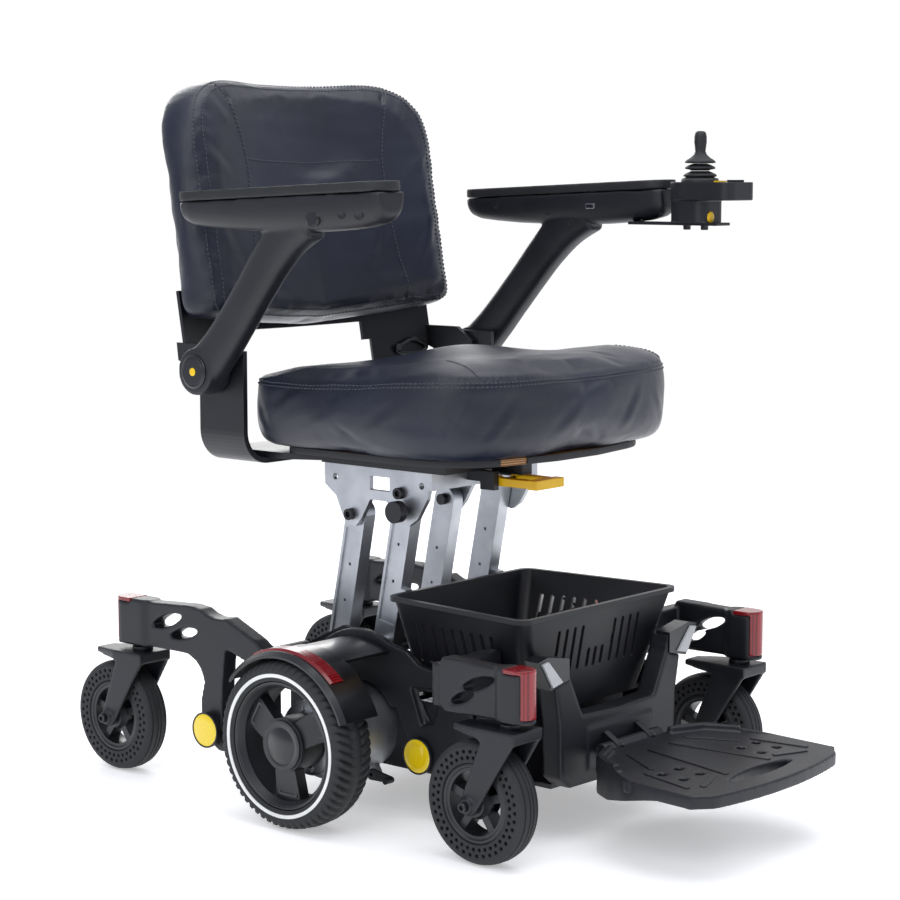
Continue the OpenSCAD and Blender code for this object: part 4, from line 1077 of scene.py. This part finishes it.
def chassis_mouldings():
    for hand in ("left", "right"):
        for end in ("rear", "front"):
            moulding(f"{end}_arm_{hand}", f"{end}_caster_arm_{hand}", "base", "moulded_nylon",
                     2.2, 5, 0.5)
    moulding("front_cowl", "cowl_moulding", "base", "moulded_nylon", 2.2, 5, 0.5)
    moulding("side_panels", "side_mouldings", "base", "moulded_nylon", 2.2, 4, 0.5)
    moulding("footplate", "footplate_moulding", "footplate", "moulded_nylon", 1.8, 4, 0.5)
    moulding("joystick_housing", "joystick_pod", "armrest_left", "moulded_nylon", 1.0, 2, 0.6)


# ---------------------------------------------------------------- joystick
def joystick():
    """Bell-skirted knob, rubber folds below it and a plain yellow dot on the pod."""
    x0, y0 = 270, -224

    def stand(shape):
        return [(x0 + a, y0 + b, x) for x, a, b in shape[0]], shape[1]

    knob = lathe([(0, 865), (4.6, 864.6), (7.0, 862.6), (8.1, 858), (8.3, 850), (7.3, 843),
                  (6.9, 838), (8.6, 834), (13.0, 830), (18.4, 826.6), (20.4, 824.6),
                  (20.0, 823), (16, 822.6), (9, 822.4)], 40)
    fitted("joystick_knob", stand(knob), "joystick_stick", "soft_rubber", 70, ("joystick_stick",))
    fold = lathe([(9, 822.2), (12.5, 821.2), (18.6, 818.4), (20.2, 816.8), (19.8, 815.2),
                  (14, 814.2), (11.5, 813)], 40)
    fitted("bellows_middle_fold", stand(fold), "joystick_gimbal", "soft_rubber", 70,
           ("joystick_gimbal",))
    foot = lathe([(11.5, 812.6), (14, 811.6), (20.4, 808.6), (22.2, 806.8), (21.8, 805.4),
                  (18.5, 804.4), (21, 803.4), (24, 802.4), (25.2, 799.5), (25.2, 797)], 48)
    fitted("bellows_foot", stand(foot), "armrest_left", "soft_rubber", 70)
    dot = lathe([(0, 1.4), (6.6, 1.4), (7.4, 0.8), (7.6, 0)], 32)
    fitted("plain_yellow_dot", moved(dot, lambda x, a, b: (262 + a, -247 - x, 752 + b)),
           "armrest_left", "yellow_plastic", 60)


# ---------------------------------------------------------------- armrests, legs and trim
def side_x(skin, side, y, z, inner=False):
    """Where a line along X at (y, z) meets the armrest, from outside or from the seat's side."""
    start = at_axle(side * (200 if inner else 360), y, z)
    hit = skin.ray_cast(start, Vector((side if inner else -side, 0, 0)))[0]
    return abs(hit.x) / MM if hit is not None else 285.0


def armrest_shape(side):
    """Boat-shaped shroud under the pad, run into a tapering arm with a round pivot boss."""
    rings = []
    for y, half_w, depth in ((174, 12, 10), (171, 18, 18), (164, 22.5, 25), (150, 25, 30),
                             (120, 26, 34), (80, 26.5, 38), (30, 27, 41), (-20, 27, 43),
                             (-70, 27, 44), (-110, 26.5, 43), (-140, 26, 41), (-160, 25, 37),
                             (-168, 23, 32), (-172, 20, 26)):
        top = PAD_TOP - 12.6 - y * math.tan(math.radians(PAD_SLOPE))
        ring = [(side * (277 + half_w), y, top), (side * (277 - half_w), y, top)]
        for k in range(1, 16):
            turn = math.pi * k / 16
            a, b = math.cos(turn), math.sin(turn)
            a = math.copysign(abs(a) ** 0.62, a)
            ring.append((side * (277 - half_w * a), y, top - depth * abs(b) ** 0.75))
        rings.append(ring)
    shroud = lofted(rings)
    path = [ARM_PIVOT, (128, 592), (98, 626), (66, 664), (34, 702), (0, 736), (-36, 758)]
    sizes = [(18.6, 29, 266.6), (17.8, 26.5, 267), (17.2, 25.5, 268), (17, 25.5, 270),
             (17.5, 26.5, 272), (19, 29, 274), (21, 30, 276)]
    line = smooth_line([(0, *p) for p in path], 4)
    rings, count = [], len(line)
    for i, here in enumerate(line):
        ahead = Vector(line[min(i + 1, count - 1)]) - Vector(line[max(i - 1, 0)])
        up = Vector((0, -ahead.z, ahead.y)).normalized()
        at = i / (count - 1) * (len(sizes) - 1)
        j = min(int(at), len(sizes) - 2)
        half_w, half_h, x0 = [a + (b - a) * (at - j) for a, b in zip(sizes[j], sizes[j + 1])]
        ring = []
        for k in range(24):
            turn = 2 * math.pi * k / 24
            a, b = math.cos(turn), math.sin(turn)
            a = math.copysign(abs(a) ** 0.6, a)
            b = math.copysign(abs(b) ** 0.75, b)
            ring.append((side * (x0 + half_w * a), here[1] + up.y * half_h * b,
                         here[2] + up.z * half_h * b))
        rings.append(ring)
    arm = lofted(rings)
    boss = lathe([(0, 248.2), (28, 248.2), (30, 250), (30, 283), (28.5, 284.8), (0, 284.8)], 48)
    return joined(shroud, arm, moved(boss, about_axle(0, *ARM_PIVOT, side)))


def armrests():
    for side, hand in SIDES:
        body = f"armrest_{hand}"
        arm = new_piece(f"armrest_shell_{hand}", *armrest_shape(side), FINISH["moulded_nylon"])
        modify(arm, "REMESH", mode="VOXEL", voxel_size=2.2 * MM)
        modify(arm, "SMOOTH", factor=0.5, iterations=7)
        modify(arm, "DECIMATE", ratio=0.45)
        tidy_mesh(arm.data, 75)
        fit(arm, body, (f"armrest_arm_{hand}",))
        skin = surface_of(arm)
        caps, dots, rims = [], [], []
        cap = lathe([(20.5, -1.2), (21.8, 0.9), (20.6, 1.9), (18.2, 2.1), (17.6, 1.3), (16.8, 2.2),
                     (0, 2.5)], 40)
        x = side_x(skin, side, *ARM_PIVOT)
        caps.append(moved(cap, about_axle(x, *ARM_PIVOT, side)))
        dot = lathe([(5.2, 2.2), (5.0, 2.9), (4.4, 3.1), (0, 3.1)], 28)
        dots.append(moved(dot, about_axle(x, *ARM_PIVOT, side)))
        x = side_x(skin, side, -66, 757)
        small = lathe([(11.5, -1.5), (11.5, 0.5), (10.6, 1.2), (9.6, 0.6), (8.8, 1.4),
                       (0, 1.7)], 32)
        caps.append(moved(small, about_axle(x, -66, 757, side)))
        for y, radius in ((-112, 4.6), (-139, 5.6)):
            x = side_x(skin, side, y, 762)
            hole = lathe([(radius + 1.3, -0.6), (radius + 1.1, 0.5), (radius, 0.5),
                          (radius - 0.5, -0.2), (0, -0.3)], 24)
            rims.append(moved(hole, about_axle(x, y, 762, side)))
        for y, z in ((110, 764), (20, 756), (-20, 742)):
            x = side_x(skin, side, y, z, True)
            recess = lathe([(4.6, 0.8), (4.4, -0.5), (3.4, -0.5), (3.0, 0.4), (0, 0.5)], 20)
            rims.append(moved(recess, about_axle(x, y, z, side)))
        fitted(f"armrest_caps_{hand}", joined(*caps), body, "gloss_plastic", 40)
        fitted(f"armrest_recesses_{hand}", joined(*rims), body, "soft_rubber", 40)
        fitted(f"pivot_dot_{hand}", joined(*dots), body, "yellow_plastic", 40)
        moulding(f"armrest_pad_{hand}", f"armrest_cover_{hand}", body, "soft_rubber", 1.8, 4, 0.6)
    skin = surface_of(bpy.data.objects["armrest_shell_left"])
    x = side_x(skin, LEFT, -56, 765, True)
    shape = slab(rounded_path([(-8, -3.6), (8, -3.6), (8, 3.6), (-8, 3.6)], 2.2), -1.4, 0.8, 0.4)
    slot = slab(rounded_path([(-5.6, -1.9), (5.6, -1.9), (5.6, 1.9), (-5.6, 1.9)], 0.8), 0.8, 1.2)

    def place(a, b, c):
        return x - c, -56 + a, 765 + b

    fitted("charge_port_rim", moved(shape, place), "armrest_left", "steel_shaft", 40)
    fitted("charge_port_slot", moved(slot, place), "armrest_left", "gloss_plastic", 40)


def backrest_legs():
    """Curved black legs behind the cover's foot, with a folding release loop on the left one."""
    for side, hand in SIDES:
        rings = []
        for k in range(25):
            share = k / 24
            across = 128 + 86 * share
            low = -66 + 12 * (1 - math.sqrt(max(0.0, 1 - (2 * share - 1) ** 8))) + 10 * share
            rings.append([on_back(side * across, up, out) for up, out in
                          ((low, -5.6), (low - 1.2, -3.0), (low, -0.6), (40, -0.6), (40, -5.6))])
        fitted(f"backrest_leg_{hand}", lofted(rings), "backrest", "powder_coated_steel", 50)
    loop = [(186 + 21 * math.cos(a) - 5 * math.sin(2 * a), -42 + 10 * math.sin(a),
             5 + 3 * math.sin(a)) for a in [2 * math.pi * k / 40 for k in range(41)]]
    fitted("backrest_release_loop",
           joined(tube([on_back(*p) for p in loop], 2.6, 10),
                  tube([on_back(165, -42, -2), on_back(165, -42, 8)], 5.0, 16)),
           "backrest", "gloss_plastic", 50)


def board_edge_shade_strip():
    """Dark strip round the board's edge: painted shade under the cushion's overhang, left open at
    the near front corner, where the plywood shows.
    """
    flat = sorted({(round(v.co.x / MM, 1), round(v.co.y / MM - AXLE_Y, 1))
                   for v in NODES["seat_board"].data.vertices})

    def half(points):
        chain = []
        for p in points:
            while len(chain) > 1 and ((chain[-1][0] - chain[-2][0]) * (p[1] - chain[-2][1]) -
                                      (chain[-1][1] - chain[-2][1]) * (p[0] - chain[-2][0])) <= 0:
                chain.pop()
            chain.append(p)
        return chain[:-1]

    hull = half(flat) + half(flat[::-1])
    path = [tuple(p)[:2] for p, _ in even_steps([(*p, 0) for p in hull + hull[:1]], 6.0)]
    start = next(i for i, p in enumerate(path) if p[0] > -96 and p[1] < -190)
    path = [p for p in path[start:] + path[:start] if not (p[0] < -96 and p[1] < -216)]
    rings = []
    for i, here in enumerate(path):
        ahead = Vector(path[min(i + 1, len(path) - 1)]) - Vector(path[max(i - 1, 0)])
        out = Vector((ahead.y, -ahead.x)).normalized()
        rings.append([(here[0] + out.x * gap, here[1] + out.y * gap, z) for gap, z in
                      ((0.2, 457.3), (1.6, 456.9), (2.4, 460.5), (1.8, 465.6), (0.2, 465.4))])
    # Painted shade: a dark strip where the cushion's overhang shades the plywood edge.
    fitted("board_edge_painted_shade", lofted(rings), "seat", "soft_rubber", 60)


def footplate_ribs():
    """Raised treads on the footplate, and the deep side walls at its rear corners."""
    drop = math.radians(PLATE_DROP)

    def on_plate(x, y, z):
        return (x, HINGE_Y + y * math.cos(drop) - z * math.sin(drop),
                HINGE_Z + y * math.sin(drop) + z * math.cos(drop))

    treads, walls = [], []
    for side in (LEFT, RIGHT):
        for near, far in (((22, -44), (46, -176)), ((58, -40), (92, -100)),
                          ((112, -104), (128, -178)), ((64, -168), (112, -186))):
            run = Vector((*far, 0)) - Vector((*near, 0))
            across = Vector((-run.y, run.x, 0)).normalized() * 4.2
            corners = [Vector((*near, 0)) + across, Vector((*far, 0)) + across,
                       Vector((*far, 0)) - across, Vector((*near, 0)) - across]
            bar = slab(rounded_path([(c.x, c.y) for c in corners], 3.4, 4), 2.6, 4.4, 0.7)
            treads.append(moved(bar, lambda x, y, z, s=side: on_plate(s * x, y, z)))
        line = smooth_line([(64, -14, 0), (108, -31, 0), (126, -56, 0), (136, -76, 0),
                            (151, -108, 0), (153.4, -150, 0), (154, -200, 0)], 5)
        rings = []
        for i, (x, y, _) in enumerate(line):
            share = i / (len(line) - 1)
            low = -34 + 26 * ease(share, 0.35, 1.0)
            high = 11 - 8.2 * ease(share, 0.25, 0.75)
            rings.append([on_plate(side * (x - inset), y, z) for inset, z in
                          ((0.2, low), (-0.4, low + 2), (0.0, high - 2), (1.2, high), (3.4, high),
                           (4.6, high - 2), (4.4, low))])
        walls.append(lofted(rings))
    fitted("footplate_treads", joined(*treads), "footplate", "moulded_nylon", 40)
    fitted("footplate_side_walls", joined(*walls), "footplate", "moulded_nylon", 50)


place_camera()
studio()
dress_frame()
seat_cushion()
backrest_cushion()
wheels()
lamps()
chassis_mouldings()
joystick()
armrests()
backrest_legs()
board_edge_shade_strip()
footplate_ribs()
